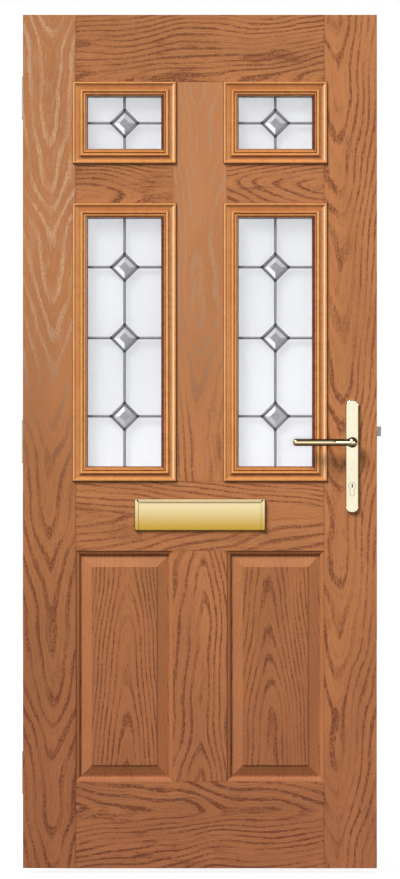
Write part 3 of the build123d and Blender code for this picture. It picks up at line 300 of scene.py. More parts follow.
def cassette_finish(colours):
    """Smooth golden foil with painted highlights on the beads and crests of the moulding and painted shade
    in its quirks and by the glass.
    """
    foil = Finish("golden_moulding", specular_ior_level=0.5)
    x, y, z = foil.place()
    streak = foil.noise(x * 40.0, y * 90.0, z * 40.0, detail=3.0)
    cloud = foil.noise(x * 7.0, y * 7.0, z * 7.0, detail=2.0)
    share, level, right = foil.attribute("rim_place")
    # Painted highlight and painted shade across the profile of the moulding.
    painted_profile_light = foil.ramp(share, MOULDING_PAINTED_LIGHT)
    level_tone, sight_shade_tone, crest_highlight_colour = (0.86, 0.78, 0.70), (0.24, 0.15, 0.14), (1.0, 0.85, 0.60)
    gold = foil.blend(painted_profile_light + (streak + cloud - 1.0) * 0.30, colours.hollow, colours.cassette)
    toned = foil.blend(level, gold, level_tone, "MULTIPLY")
    # Painted shade by the glass on the right-hand uprights, and a painted highlight on their crest.
    sight_shade = right * share.step(0.79, 0.84)
    shaded = foil.blend(sight_shade, toned, sight_shade_tone, "MULTIPLY")
    crest_highlight = right * (share.step(0.13, 0.17) - share.step(0.20, 0.24)) * 0.60
    foil.colour(foil.blend(crest_highlight, shaded, crest_highlight_colour))
    foil.roughness(streak * 0.12 + 0.22)
    foil.bump(streak, 0.00012, 0.3)
    return foil.material


def metal_finish(name, colour, rough, spread):
    """Metal with faint smears and fine polishing lines."""
    metal = Finish(name, metallic=1.0, specular_tint=(0.22, 0.16, 0.10, 1.0))
    x, y, z = metal.place()
    smear = metal.noise(x * 18.0, y * 18.0, z * 18.0, detail=3.0)
    lines = metal.noise(x * 60.0, y * 900.0, z * 900.0, detail=1.0)
    metal.colour(metal.blend(smear.step(0.2, 0.8), *shades(colour, 0.95, 1.04)))
    metal.roughness(smear * spread + lines * spread * 0.5 + rough)
    metal.bump(lines, 0.00002, 0.15)
    return metal.material


def lever_finish(colours):
    """Polished gold with painted shade along the upper and lower flanks of a lever."""
    gold = Finish("lever_gold_painted_flanks", metallic=1.0)
    x, y, z = gold.place()
    facing = gold.split(gold.node("ShaderNodeTexCoord").outputs["Normal"])
    # Painted shade: flanks that face up or down take a dark copy of the gold.
    flank_shade = facing[2].math("ABSOLUTE").step(0.36, 0.74)
    smear = gold.noise(x * 18.0, y * 18.0, z * 18.0, detail=3.0)
    bright = [c * s for c, s in zip(colours.gold, (1.0, 0.90, 0.72))]
    dark = [c * s for c, s in zip(colours.gold, (0.15, 0.11, 0.05))]
    gold.colour(gold.blend(flank_shade + (smear - 0.5) * 0.15, bright, dark))
    gold.roughness(smear * 0.05 + 0.05)
    return gold.material


def lead_finish(name, colour, rough, metal=0.35, gloss=0.3):
    """Dull lead with a fine mottle."""
    lead = Finish(name, metallic=metal, specular_ior_level=gloss)
    x, y, z = lead.place()
    mottle = lead.noise(x * 160.0, y * 160.0, z * 160.0, detail=3.0)
    lead.colour(lead.blend(mottle.step(0.25, 0.75), *shades(colour, 0.85, 1.25)))
    lead.roughness(mottle * 0.2 + rough)
    lead.bump(mottle, 0.0003, 0.4)
    return lead.material


def obscure_finish(colours):
    """Translucent patterned glass at the back of each unit."""
    glass = Finish("obscure_glass", transmission_weight=0.82, ior=1.25, specular_ior_level=0.2)
    x, y, z = glass.place()
    ripple = glass.noise(x * 110.0, y * 110.0, z * 42.0, detail=2.0)
    veil = glass.noise(x * 4.0, y * 4.0, z * 2.2, detail=1.0)
    glass.colour(glass.blend(veil.step(0.2, 0.8), *shades(colours.glass, 0.95, 1.04)))
    glass.roughness(ripple * 0.15 + 0.30)
    glass.bump(ripple, 0.0005, 0.20)
    return glass.material


def clear_finish():
    """Thin clear pane that keeps its gloss and a faint veil."""
    pane = Finish("clear_pane", alpha=0.02, base_color=(0.90, 0.92, 0.95, 1.0), specular_ior_level=0.1)
    x, y, z = pane.place()
    wave = pane.noise(x * 3.0, y * 3.0, z * 3.0, detail=1.0)
    pane.roughness(wave * 0.04 + 0.05)
    pane.bump(wave, 0.0004, 0.1)
    return pane.material


def bevel_finish():
    """Cut glass whose facets each take their own painted reflection, from dark to pale."""
    cut = Finish("bevelled_glass", specular_ior_level=0.35)
    tone = cut.attribute("facet_reflection")[0]
    x, y, z = cut.place()
    haze = cut.noise(x * 60.0, y * 60.0, z * 60.0, detail=2.0)
    cut.colour(cut.blend(tone + (haze - 0.5) * 0.16, (0.0, 0.0, 0.0), (1.0, 1.01, 1.04)))
    cut.roughness(haze * 0.06 + 0.10)
    return cut.material


def plate_finish(colours):
    """Polished gold with a painted reflection that deepens from the letter plate's top to its foot."""
    gold = Finish("reflection_graded_gold", metallic=0.55)
    x, y, z = gold.place()
    low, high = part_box("letter_outer_frame")[0].z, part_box("letter_outer_frame")[1].z
    smear = gold.noise(x * 14.0, y * 14.0, z * 30.0, detail=3.0)
    lines = gold.noise(x * 30.0, y * 900.0, z * 900.0, detail=1.0)
    sway, below_foot, below_top = 0.006, 0.008, 0.004
    # Painted reflection: pale towards the top, deep towards the foot.
    reflection_rise = (z + (smear - 0.5) * sway).step(low - below_foot, high - below_top)
    gold.colour(gold.blend(reflection_rise, colours.plate_reflection_foot, colours.plate_reflection_top))
    gold.roughness(smear * 0.08 + lines * 0.05 + 0.16)
    gold.bump(lines, 0.00002, 0.15)
    return gold.material


def mottled_finish(name, colour, rough, grain=60.0):
    """Plain moulded or cut surface with a fine mottle."""
    plain = Finish(name)
    x, y, z = plain.place()
    mottle = plain.noise(x * grain, y * grain, z * grain * 0.4, detail=3.0)
    plain.colour(plain.blend(mottle.step(0.25, 0.75), *shades(colour, 0.85, 1.12)))
    plain.roughness(mottle * 0.15 + rough)
    plain.bump(mottle, 0.0002, 0.3)
    return plain.material


def dress(material, *names):
    """Put a finish on CAD nodes."""
    for name in names:
        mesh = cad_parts[name].data
        mesh.materials.clear()
        mesh.materials.append(material)


def add_piece(name, mesh, body, material):
    """A mesh of the looks as an object of the scene that rides on a body."""
    if mesh.materials:
        mesh.materials.clear()
    mesh.materials.append(material)
    made = bpy.data.objects.new(name, mesh)
    bpy.context.scene.collection.objects.link(made)
    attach(made, body)
    return made


def board_table(sizes):
    """Boards of a face: x limits, z limits, grain direction, and the figure of the grain.

    The figure is the offset of its middle, its lines per metre across and along, its slant, how far its
    lines take a painted highlight high on the leaf, the bluntness of its arches, how wildly it wanders,
    how dark its lines are, how smudged it is and how deep its ground is.
    """
    half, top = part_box("outer_skin")[1].x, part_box("outer_skin")[1].z
    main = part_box("outer_cassette_main_left")
    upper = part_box("outer_cassette_upper_left")
    stile = half - sizes.stile
    muntin = sizes.muntin / 2
    panel_low, panel_high = sizes.bottom_rail, sizes.bottom_rail + sizes.panel
    main_low, main_high = main[0].z, main[1].z
    upper_low, upper_high = upper[0].z, upper[1].z
    wide, middle = (-stile, stile), (-muntin, muntin)
    left, right = (-stile, -muntin), (muntin, stile)
    whole, panels = (0.0, top), (panel_low, panel_high)
    mains, uppers = (main_low, main_high), (upper_low, upper_high)
    cross, lock = (main_high, upper_low), (panel_high, main_low)
    glazed = (main_low, upper_high)
    hidden = (0.0, 90.0, 9.0, 0.0, 0.0, 0.010, 1.0, 0.8, 0.0, 0.0)
    rows = [
        ((-half, -stile), whole, "up", (0.006, 42.0, -8.5, 0.0, 0.72, 0.016, 1.2, 1.05, 0.4, 0.42)),
        ((stile, half), whole, "up", (-0.020, 50.0, -8.5, 14.0, 0.0, 0.018, 1.3, 1.05, 0.4, 0.0)),
        (wide, (0.0, panel_low), "level", (0.040, 60.0, 8.0, -10.0, 0.0, 0.012, 1.4, 1.35, 0.8, 0.15)),
        (wide, lock, "level", (0.010, 64.0, 10.0, 16.0, 0.0, 0.012, 1.2, 1.08, 0.6, 0.0)),
        (left, cross, "level", (-0.020, 66.0, 9.0, 30.0, 0.0, 0.012, 1.3, 1.25, 0.8, 0.05)),
        (right, cross, "level", (0.010, 70.0, -11.0, 16.0, 0.0, 0.012, 1.2, 1.25, 0.8, 0.05)),
        (wide, (upper_high, top), "level", (-0.070, 58.0, -8.0, 22.0, 0.0, 0.020, 1.4, 1.45, 0.9, 0.10)),
        (middle, panels, "up", (0.012, 60.0, 5.5, 20.0, 0.0, 0.014, 1.3, 1.15, 0.6, 0.05)),
        (middle, glazed, "up", (-0.012, 58.0, -5.0, -20.0, 0.40, 0.016, 1.2, 1.1, 0.5, 0.0)),
        (left, panels, "up", (0.006, 104.0, 9.0, 0.0, 0.0, 0.026, 0.7, 1.0, 0.1, 0.40)),
        (right, panels, "up", (-0.010, 92.0, 10.0, 10.0, 0.0, 0.024, 0.9, 1.0, 0.2, 0.40)),
        *[(side, light, "up", hidden) for light in (mains, uppers) for side in (left, right)],
    ]
    cuts_x = (-stile, -muntin, muntin, stile)
    cuts_z = (panel_low, panel_high, main_low, main_high, upper_low, upper_high)
    return rows, cuts_x, cuts_z


def grained_copy(node, sizes):
    """Copy of a skin cut along its boards, with each board's grain stored on its corners.

    Faces that slope are calm, and those that look down get a painted shade on top of their ground.
    """
    flat_facing, down_facing, painted_down_shade, seed_step = 0.999, -0.15, 0.45, 1.7
    rows, cuts_x, cuts_z = board_table(sizes)
    shape = bmesh.new()
    shape.from_mesh(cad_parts[node].data)
    for normal, cuts in (((1, 0, 0), cuts_x), ((0, 0, 1), cuts_z)):
        for cut in cuts:
            everything = [*shape.verts, *shape.edges, *shape.faces]
            point = [cut * n for n in normal]
            bmesh.ops.bisect_plane(shape, geom=everything, plane_co=point, plane_no=normal)
    labels = ("board_place", "board_figure", "board_light", "board_tone", "board_shade")
    place, figure, light, tone, shade = [shape.loops.layers.float_vector.new(label) for label in labels]
    for face in shape.faces:
        middle = face.calc_center_median()
        for seed, (limits_x, limits_z, way, grain) in enumerate(rows):
            if limits_x[0] <= middle.x <= limits_x[1] and limits_z[0] <= middle.z <= limits_z[1]:
                break
        offset, slope, rate, tilt, glint, blunt, wild, dark, smudge, deep = grain
        centre_x, centre_z = sum(limits_x) / 2, sum(limits_z) / 2
        calm = 0.0 if abs(face.normal.y) > flat_facing else 1.0
        # Faces that look down get a painted shade added to their ground.
        depth = min(1.0, deep + painted_down_shade) if face.normal.z < down_facing else deep
        for loop in face.loops:
            x, z = loop.vert.co.x, loop.vert.co.z
            if way == "up":
                loop[place] = (x - centre_x - offset, z - centre_z, seed_step * seed)
            else:
                loop[place] = (z - centre_z - offset, x - centre_x, seed_step * seed)
            loop[figure] = (slope, rate, tilt)
            loop[light] = (glint, blunt, wild)
            loop[tone] = (dark, calm, smudge)
            loop[shade] = (depth, depth, depth)
    return as_mesh(shape, f"{node}_grain")


def moulded_copy(node, sizes):
    """Copy of a glazing moulding with three values stored on its corners.

    They are the share of the way from its outer edge to the glass, 1 on the level members, and 1 on the
    right-hand upright one.
    """
    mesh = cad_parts[node].data.copy()
    mesh.name = f"{node}_foil"
    rim = mesh.attributes.new("rim_place", "FLOAT_VECTOR", "CORNER")
    low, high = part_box(node)
    for face in mesh.polygons:
        middle = face.center
        level = min(middle.z - low.z, high.z - middle.z) < min(middle.x - low.x, high.x - middle.x)
        right = not level and middle.x > (low.x + high.x) / 2
        for corner in face.loop_indices:
            place = mesh.vertices[mesh.loops[corner].vertex_index].co
            reach = min(place.x - low.x, high.x - place.x, place.z - low.z, high.z - place.z)
            rim.data[corner].vector = (reach / sizes.moulding, float(level), float(right))
    return mesh


def as_mesh(shape, name):
    """A mesh from a bmesh, which is freed."""
    mesh = bpy.data.meshes.new(name)
    shape.to_mesh(mesh)
    shape.free()
    return mesh


def faceted_copy():
    """Copy of the cut diamonds with a painted reflection level on each facet by the way it faces, turned
    over in the lowest diamonds.
    """
    shape = bmesh.new()
    shape.from_mesh(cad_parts["bevel_diamonds"].data)
    tone = shape.loops.layers.float_vector.new("facet_reflection")
    table_facing, table_reflection = 0.985, 0.30
    edge_facing, edge_reflection = 0.05, 0.20
    # Painted reflection level of each sloping facet by the way it faces.
    upper_left, upper_right, lower_left, lower_right = 0.57, 0.50, 1.0, 0.37
    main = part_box("outer_cassette_main_left")
    turned_below = main[0].z + (main[1].z - main[0].z) / 3
    for face in shape.faces:
        normal = face.normal
        if abs(normal.y) > table_facing:
            level = table_reflection
        elif abs(normal.y) < edge_facing:
            level = edge_reflection
        else:
            up = normal.z if face.calc_center_median().z > turned_below else -normal.z
            if up > 0:
                level = upper_left if normal.x < 0 else upper_right
            else:
                level = lower_left if normal.x < 0 else lower_right
        for loop in face.loops:
            loop[tone] = (level, level, level)
    return as_mesh(shape, "bevel_facets")


def keyed_copy():
    """Copy of the key plug whose slot takes a second, dark finish as painted shade of the keyway."""
    shape = bmesh.new()
    shape.from_mesh(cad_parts["cylinder_plug"].data)
    slot_half, front_skin, back_skin = 0.0017, 0.0003, 0.001
    low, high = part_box("cylinder_plug")
    middle = (low.x + high.x) / 2
    for face in shape.faces:
        centre = face.calc_center_median()
        if abs(centre.x - middle) < slot_half and low.y + front_skin < centre.y < high.y - back_skin:
            face.material_index = 1
    return as_mesh(shape, "key_plug")


def node_group(name, **inputs):
    """Empty geometry group with its named sockets, and its input and output nodes."""
    group = bpy.data.node_groups.new(name, "GeometryNodeTree")
    group.interface.new_socket("Geometry", in_out="INPUT", socket_type="NodeSocketGeometry")
    for label, kind in inputs.items():
        group.interface.new_socket(label, in_out="INPUT", socket_type=f"NodeSocket{kind}")
    group.interface.new_socket("Geometry", in_out="OUTPUT", socket_type="NodeSocketGeometry")
    return group, group.nodes.new("NodeGroupInput"), group.nodes.new("NodeGroupOutput")


def finish_group(group, shape, start, end):
    """Last nodes of every group: realized instances with a material."""
    real = group.nodes.new("GeometryNodeRealizeInstances")
    paint = group.nodes.new("GeometryNodeSetMaterial")
    group.links.new(shape, real.inputs[0])
    group.links.new(real.outputs[0], paint.inputs["Geometry"])
    group.links.new(start.outputs["Material"], paint.inputs["Material"])
    group.links.new(paint.outputs[0], end.inputs[0])


def bead_group():
    """Round bead along the edges of a mesh."""
    group, start, end = node_group("door_bead", Radius="Float", Material="Material")
    curve = group.nodes.new("GeometryNodeMeshToCurve")
    ring = group.nodes.new("GeometryNodeCurvePrimitiveCircle")
    ring.inputs["Resolution"].default_value = 10
    sweep = group.nodes.new("GeometryNodeCurveToMesh")
    smooth = group.nodes.new("GeometryNodeSetShadeSmooth")
    group.links.new(start.outputs["Geometry"], curve.inputs[0])
    group.links.new(start.outputs["Radius"], ring.inputs["Radius"])
    group.links.new(curve.outputs[0], sweep.inputs["Curve"])
    group.links.new(ring.outputs[0], sweep.inputs["Profile Curve"])
    sweep.inputs["Fill Caps"].default_value = True
    group.links.new(sweep.outputs[0], smooth.inputs[0])
    finish_group(group, smooth.outputs[0], start, end)
    return group


def knot_group():
    """Flattened drop on every vertex of a mesh."""
    group, start, end = node_group("door_knot", Radius="Float", Shape="Vector", Material="Material")
    ball = group.nodes.new("GeometryNodeMeshUVSphere")
    ball.inputs["Segments"].default_value = 16
    ball.inputs["Rings"].default_value = 10
    smooth = group.nodes.new("GeometryNodeSetShadeSmooth")
    points = group.nodes.new("GeometryNodeMeshToPoints")
    place = group.nodes.new("GeometryNodeInstanceOnPoints")
    group.links.new(start.outputs["Radius"], ball.inputs["Radius"])
    group.links.new(ball.outputs[0], smooth.inputs[0])
    group.links.new(start.outputs["Geometry"], points.inputs[0])
    group.links.new(points.outputs[0], place.inputs["Points"])
    group.links.new(smooth.outputs[0], place.inputs["Instance"])
    group.links.new(start.outputs["Shape"], place.inputs["Scale"])
    finish_group(group, place.outputs[0], start, end)
    return group


def drive_group():
    """Dark cross on every vertex of a mesh that marks a screw head, painted shade of its cross recess."""
    group, start, end = node_group("door_drive", Bar="Vector", Crossbar="Vector", Material="Material")
    points = group.nodes.new("GeometryNodeMeshToPoints")
    cross = group.nodes.new("GeometryNodeJoinGeometry")
    for label in ("Bar", "Crossbar"):
        bar = group.nodes.new("GeometryNodeMeshCube")
        group.links.new(start.outputs[label], bar.inputs["Size"])
        group.links.new(bar.outputs[0], cross.inputs[0])
    place = group.nodes.new("GeometryNodeInstanceOnPoints")
    group.links.new(start.outputs["Geometry"], points.inputs[0])
    group.links.new(points.outputs[0], place.inputs["Points"])
    group.links.new(cross.outputs[0], place.inputs["Instance"])
    finish_group(group, place.outputs[0], start, end)
    return group


def grown_mesh(name, verts, edges, group, **values):
    """Mesh that a geometry group makes from points and edges."""
    seed = bpy.data.meshes.new(f"{name}_seed")
    seed.from_pydata(verts, edges, [])
    carrier = bpy.data.objects.new(f"{name}_carrier", seed)
    bpy.context.scene.collection.objects.link(carrier)
    modifier = carrier.modifiers.new("grow", "NODES")
    modifier.node_group = group
    for item in group.interface.items_tree:
        if item.in_out == "INPUT" and item.name in values:
            modifier[item.identifier] = values[item.name]
    bpy.context.view_layer.update()
    mesh = bpy.data.meshes.new_from_object(carrier.evaluated_get(bpy.context.evaluated_depsgraph_get()))
    carrier.modifiers.remove(modifier)
    bpy.data.objects.remove(carrier)
    bpy.data.meshes.remove(seed)
    mesh.name = name
    return mesh


def loop_edges(count, first=0):
    """Edges of a closed ring of vertices."""
    return [(first + i, first + (i + 1) % count) for i in range(count)]


def rectangle(low_x, high_x, low_z, high_z, y):
    """Corners of an upright rectangle at a depth."""
    return [(low_x, y, low_z), (high_x, y, low_z), (high_x, y, high_z), (low_x, y, high_z)]


def sight_box(light, sizes):
    """Visible glass of a light: middle x, half width, and its lowest and highest z."""
    low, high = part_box(f"outer_cassette_{light}")
    rim = sizes.moulding
    return (low.x + high.x) / 2, (high.x - low.x) / 2 - rim, low.z + rim, high.z - rim


def diamond_places(light, sizes):
    """Centres of the leaded diamonds of a light as x and z."""
    x, half, low, high = sight_box(light, sizes)
    return [(x, low + share * (high - low)) for share in DIAMOND_SHARES[light.split("_")[0]]]


def screw_heads(node, axis):
    """Centre and radius of each screw head of a node, seen along +X, -X or +Y."""
    shape = bmesh.new()
    shape.from_mesh(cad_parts[node].data)
    bmesh.ops.remove_doubles(shape, verts=shape.verts, dist=1e-6)
    heads, seen = [], set()
    for vert in shape.verts:
        if vert in seen:
            continue
        island, queue = [], [vert]
        seen.add(vert)
        while queue:
            here = queue.pop()
            island.append(here.co.copy())
            for edge in here.link_edges:
                other = edge.other_vert(here)
                if other not in seen:
                    seen.add(other)
                    queue.append(other)
        low = Vector([min(p[i] for p in island) for i in range(3)])
        high = Vector([max(p[i] for p in island) for i in range(3)])
        centre = (low + high) / 2
        side = Vector(axis)
        centre += Vector([s * (h - l) / 2 for s, l, h in zip(side, low, high)])
        heads.append((centre, (high.z - low.z) / 2))
    shape.free()
    return heads


class DOOR_OT_skins(bpy.types.Operator):
    """Cover both faces of the leaf in boards of embossed oak"""

    bl_idname = "door.skins"
    bl_label = "Oak skins"

    def execute(self, context):
        scene = context.scene
        oak = oak_finish(scene.door_colours, scene.door_sizes)
        for node in ("outer_skin", "inner_skin"):
            mesh = grained_copy(node, scene.door_sizes)
            made = add_piece(f"{node}_oak", mesh, "leaf", oak)
            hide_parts(node)
        edge = mottled_finish("bare_timber", scene.door_colours.timber, 0.55, 90.0)
        dress(edge, "hinge_stile", "lock_stile", "top_rail", "bottom_rail")
        dress(mottled_finish("rigid_foam", (0.75, 0.66, 0.40), 0.8, 300.0), "foam_core")
        return {"FINISHED"}


class DOOR_OT_glazing(bpy.types.Operator):
    """Finish the mouldings, panes, spacers and cut diamonds of the lights"""

    bl_idname = "door.glazing"
    bl_label = "Glazing"

    def execute(self, context):
        colours = context.scene.door_colours
        foil = cassette_finish(colours)
        for node in MOULDINGS:
            mesh = moulded_copy(node, context.scene.door_sizes)
            made = add_piece(f"{node}_foil", mesh, "leaf", foil)
            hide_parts(node)
        dress(clear_finish(), "outer_panes")
        dress(obscure_finish(colours), "inner_panes")
        made = add_piece("bevel_facets", faceted_copy(), "leaf", bevel_finish())
        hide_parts("bevel_diamonds")
        dress(metal_finish("spacer_metal", (0.62, 0.62, 0.63), 0.35, 0.1), "spacer_bars")
        return {"FINISHED"}


class DOOR_OT_leadwork(bpy.types.Operator):
    """Finish the lead with nearly black sides as painted shade, bright crowns along it as a painted
    highlight, and dark solder at the diamonds' corners
    """

    bl_idname = "door.leadwork"
    bl_label = "Leadwork"

    def execute(self, context):
        colours, sizes = context.scene.door_colours, context.scene.door_sizes
        dress(lead_finish("lead_sides", colours.lead, 0.45), *[f"lead_came_{light}" for light in LIGHTS])
        crown = lead_finish("lead_crown", colours.lead_crown, 0.40)
        solder = lead_finish("solder", [c * 0.6 for c in colours.lead], 0.45, 0.0, 0.1)
        bead, knot = bead_group(), knot_group()
        drop = {"Radius": sizes.solder, "Shape": (1.0, 0.30, 1.0), "Material": solder}
        crown_sunk_share, knot_sunk_share = 0.75, 0.06
        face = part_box("lead_came_main_left")[0].y
        front = face + sizes.crown * crown_sunk_share
        reach = sizes.diamond
        for light in LIGHTS:
            middle, half, low, high = sight_box(light, sizes)
            verts, edges, corners = [], [], []
            stops = [low]
            for x, z in diamond_places(light, sizes):
                ring = [(x + a * reach, front, z + c * reach) for a, c in QUARTERS]
                edges += loop_edges(4, len(verts))
                verts += ring
                corners += [(a, face + sizes.solder * knot_sunk_share, c) for a, b, c in ring]
                for side in (-1, 1):
                    edges.append((len(verts), len(verts) + 1))
                    verts += [(x + side * reach, front, z), (x + side * half, front, z)]
                stops += [z - reach, z + reach]
            stops.append(high)
            for start, end in zip(stops[::2], stops[1::2]):
                edges.append((len(verts), len(verts) + 1))
                verts += [(middle, front, start), (middle, front, end)]
            mesh = grown_mesh(f"lead_crown_{light}", verts, edges, bead, Radius=sizes.crown, Material=crown)
            add_piece(mesh.name, mesh, "leaf", crown)
            mesh = grown_mesh(f"solder_{light}", corners, [], knot, **drop)
            add_piece(mesh.name, mesh, "leaf", solder)
        return {"FINISHED"}


class DOOR_OT_seals(bpy.types.Operator):
    """Run a dark seal round the glass, also painted shade at the sight edge, and dark beads as painted
    shadow lines round the mouldings, the letter plates and the key cylinder
    """

    bl_idname = "door.seals"
    bl_label = "Seals"

    def execute(self, context):
        colours, sizes = context.scene.door_colours, context.scene.door_sizes
        seal_and_shadow_dark = mottled_finish("dark_seal_and_shadow", colours.seal_and_shadow_dark, 0.55, 300.0)
        bead = bead_group()
        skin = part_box("outer_skin")[0].y
        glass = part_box("outer_panes")[0].y
        proud = sizes.seal_and_shadow_line * 0.5
        # Glass seals: a real gasket that also gives painted shade at the sight edge.
        for light in LIGHTS:
            middle, half, low, high = sight_box(light, sizes)
            verts, edges = [], []
            for y in (glass - proud, -glass + proud):
                edges += loop_edges(4, len(verts))
                verts += rectangle(middle - half, middle + half, low, high, y)
            mesh = grown_mesh(f"glass_seal_{light}", verts, edges, bead, Radius=sizes.seal_and_shadow_line, Material=seal_and_shadow_dark)
            add_piece(mesh.name, mesh, "leaf", seal_and_shadow_dark)
        self.plate_shadow_lines(bead, seal_and_shadow_dark, skin, sizes.seal_and_shadow_line)
        self.cylinder_shadow_line(bead, seal_and_shadow_dark, sizes.seal_and_shadow_line)
        return {"FINISHED"}

    def plate_shadow_lines(self, bead, seal_and_shadow_dark, skin, seal_and_shadow_line):
        """Dark beads under the edges of the mouldings and plates on both faces of the leaf, as painted
        shadow lines.
        """
        plates = ["letter_outer_frame", "letter_inner_frame"]
        for name, nodes, share in (("moulding_shadow_lines", MOULDINGS, 1.1), ("plate_shadow_lines", plates, 1.5)):
            verts, edges = [], []
            for node in nodes:
                low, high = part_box(node)
                y = skin if low.y + high.y < 0 else -skin
                edges += loop_edges(4, len(verts))
                verts += rectangle(low.x, high.x, low.z, high.z, y)
            mesh = grown_mesh(name, verts, edges, bead, Radius=seal_and_shadow_line * share, Material=seal_and_shadow_dark)
            add_piece(name, mesh, "leaf", seal_and_shadow_dark)

    def cylinder_shadow_line(self, bead, seal_and_shadow_dark, seal_and_shadow_line):
        """Fine dark line round the key cylinder as a painted shadow line: a large round with a narrower
        rounded foot.
        """
        line_share, web_share = 0.65, 0.295
        round_from, round_turn, round_steps, foot_steps = -54, 288, 24, 10
        low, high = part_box("cylinder_body")
        plug_low, plug_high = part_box("cylinder_plug")
        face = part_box("outer_handle_plate")[0].y
        centre = Vector(((plug_low.x + plug_high.x) / 2, face, (plug_low.z + plug_high.z) / 2))
        wide, web = (high.x - low.x) / 2, (high.x - low.x) * web_share
        foot = centre.z - low.z - web
        turns = [math.radians(round_from + round_turn * i / round_steps) for i in range(round_steps + 1)]
        outline = [(wide * math.cos(a), wide * math.sin(a)) for a in turns]
        turns = [math.pi + math.pi * i / foot_steps for i in range(foot_steps + 1)]
        outline += [(web * math.cos(a), web * math.sin(a) - foot) for a in turns]
        verts = [(centre.x + x, centre.y, centre.z + z) for x, z in outline]
        edges = loop_edges(len(verts))
        mesh = grown_mesh("cylinder_shadow_line", verts, edges, bead, Radius=seal_and_shadow_line * line_share, Material=seal_and_shadow_dark)
        add_piece(mesh.name, mesh, "leaf", seal_and_shadow_dark)


class DOOR_OT_drives(bpy.types.Operator):
    """Mark every screw head that shows with a dark cross, painted shade of its cross recess"""

    bl_idname = "door.drives"
    bl_label = "Screw drives"

    def execute(self, context):
        # Dark crosses: painted shade of the screws' cross recesses.
        dark = mottled_finish("drive_recess_shade", (0.02, 0.02, 0.02), 0.6, 400.0)
        cross = drive_group()
        rows = (
            ("cassette_screws", (0, 1, 0)), ("letter_bolts", (0, 1, 0)), ("handle_bolts", (0, 1, 0)),
            ("faceplate_screws", (1, 0, 0)), ("cylinder_screw", (1, 0, 0)), ("hinge_screws", (-1, 0, 0)),
        )
        reach_share, bar_share, deep = 1.1, 0.22, 0.00016
        for node, axis in rows:
            heads = screw_heads(node, axis)
            reach = heads[0][1] * reach_share
            thin = reach * bar_share
            bars = {"Bar": [reach, deep, thin], "Crossbar": [thin, deep, reach]}
            if axis[0]:
                bars = {"Bar": [deep, reach, thin], "Crossbar": [deep, thin, reach]}
            centres = [tuple(centre) for centre, radius in heads]
            mesh = grown_mesh(f"{node}_drive", centres, [], cross, Material=dark, **bars)
            add_piece(mesh.name, mesh, "leaf", dark)
        return {"FINISHED"}


class DOOR_OT_furniture(bpy.types.Operator):
    """Polish the handles, letter plate and cylinder, and finish the lock and hinges"""

    bl_idname = "door.furniture"
    bl_label = "Door furniture"

    def execute(self, context):
        colours = context.scene.door_colours
        gold = metal_finish("polished_gold", colours.gold, 0.05, 0.06)
        dress(gold, "outer_handle_plate", "inner_handle_plate", "cylinder_body")
        dress(lever_finish(colours), "outer_lever", "inner_lever", "thumb_turn")
        letter = [f"letter_{side}_{piece}" for piece in ("frame", "flap") for side in ("outer", "inner")]
        dress(plate_finish(colours), *letter)
        plug = add_piece("key_plug", keyed_copy(), "key_set", gold)
        # The slot's dark finish is painted shade of the keyway.
        plug.data.materials.append(mottled_finish("key_slot_shade", (0.015, 0.010, 0.006), 0.6, 400.0))
        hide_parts("cylinder_plug")
        satin = metal_finish("satin_brass", [c * 0.85 for c in colours.gold], 0.26, 0.12)
        places = ("bottom", "middle", "top")
        leaves = [f"hinge_{side}_leaf_{place}" for side in ("frame", "door") for place in places]
        dress(satin, *leaves, "hinge_pins", "hinge_screws")
        steel = metal_finish("zinc_steel", colours.steel, 0.24, 0.14)
        dress(
            steel, "letter_flap_pins", "letter_bolts", "handle_bolts", "spindle", "cylinder_cam",
            "cylinder_screw", "lock_faceplate", "lock_case", "lock_follower", "hook_cases",
            "lower_hook", "upper_hook", "drive_rail", "faceplate_screws", "cassette_screws",
        )
        dress(mottled_finish("pale_plating", colours.plating, 0.30, 120.0), "latch_bolt", "dead_bolt")
        dress(mottled_finish("moulded_sleeve", (0.70, 0.70, 0.68), 0.45, 200.0), "letter_sleeve")
        self.pivot_gap_shadows(context.scene.door_sizes)
        return {"FINISHED"}

    def pivot_gap_shadows(self, sizes):
        """Dark spots in the letter plate's cheeks beside the ends of the flap's pivot, painted shadow of
        the gaps there.
        """
        dark = mottled_finish("pivot_gap_shadow", (0.010, 0.008, 0.006), 0.6, 400.0)
        low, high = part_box("letter_outer_flap")
        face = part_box("letter_outer_frame")[0].y
        aside_share, down_share, shape = 1.2, 0.8, (0.75, 0.12, 1.1)
        gap = sizes.pivot_gap_shadow
        aside, height = gap * aside_share, high.z - gap * down_share
        spots = [(x, face, height) for x in (low.x - aside, high.x + aside)]
        mesh = grown_mesh("pivot_gap_shadows", spots, [], knot_group(), Radius=gap, Shape=shape, Material=dark)
        add_piece(mesh.name, mesh, "leaf", dark)


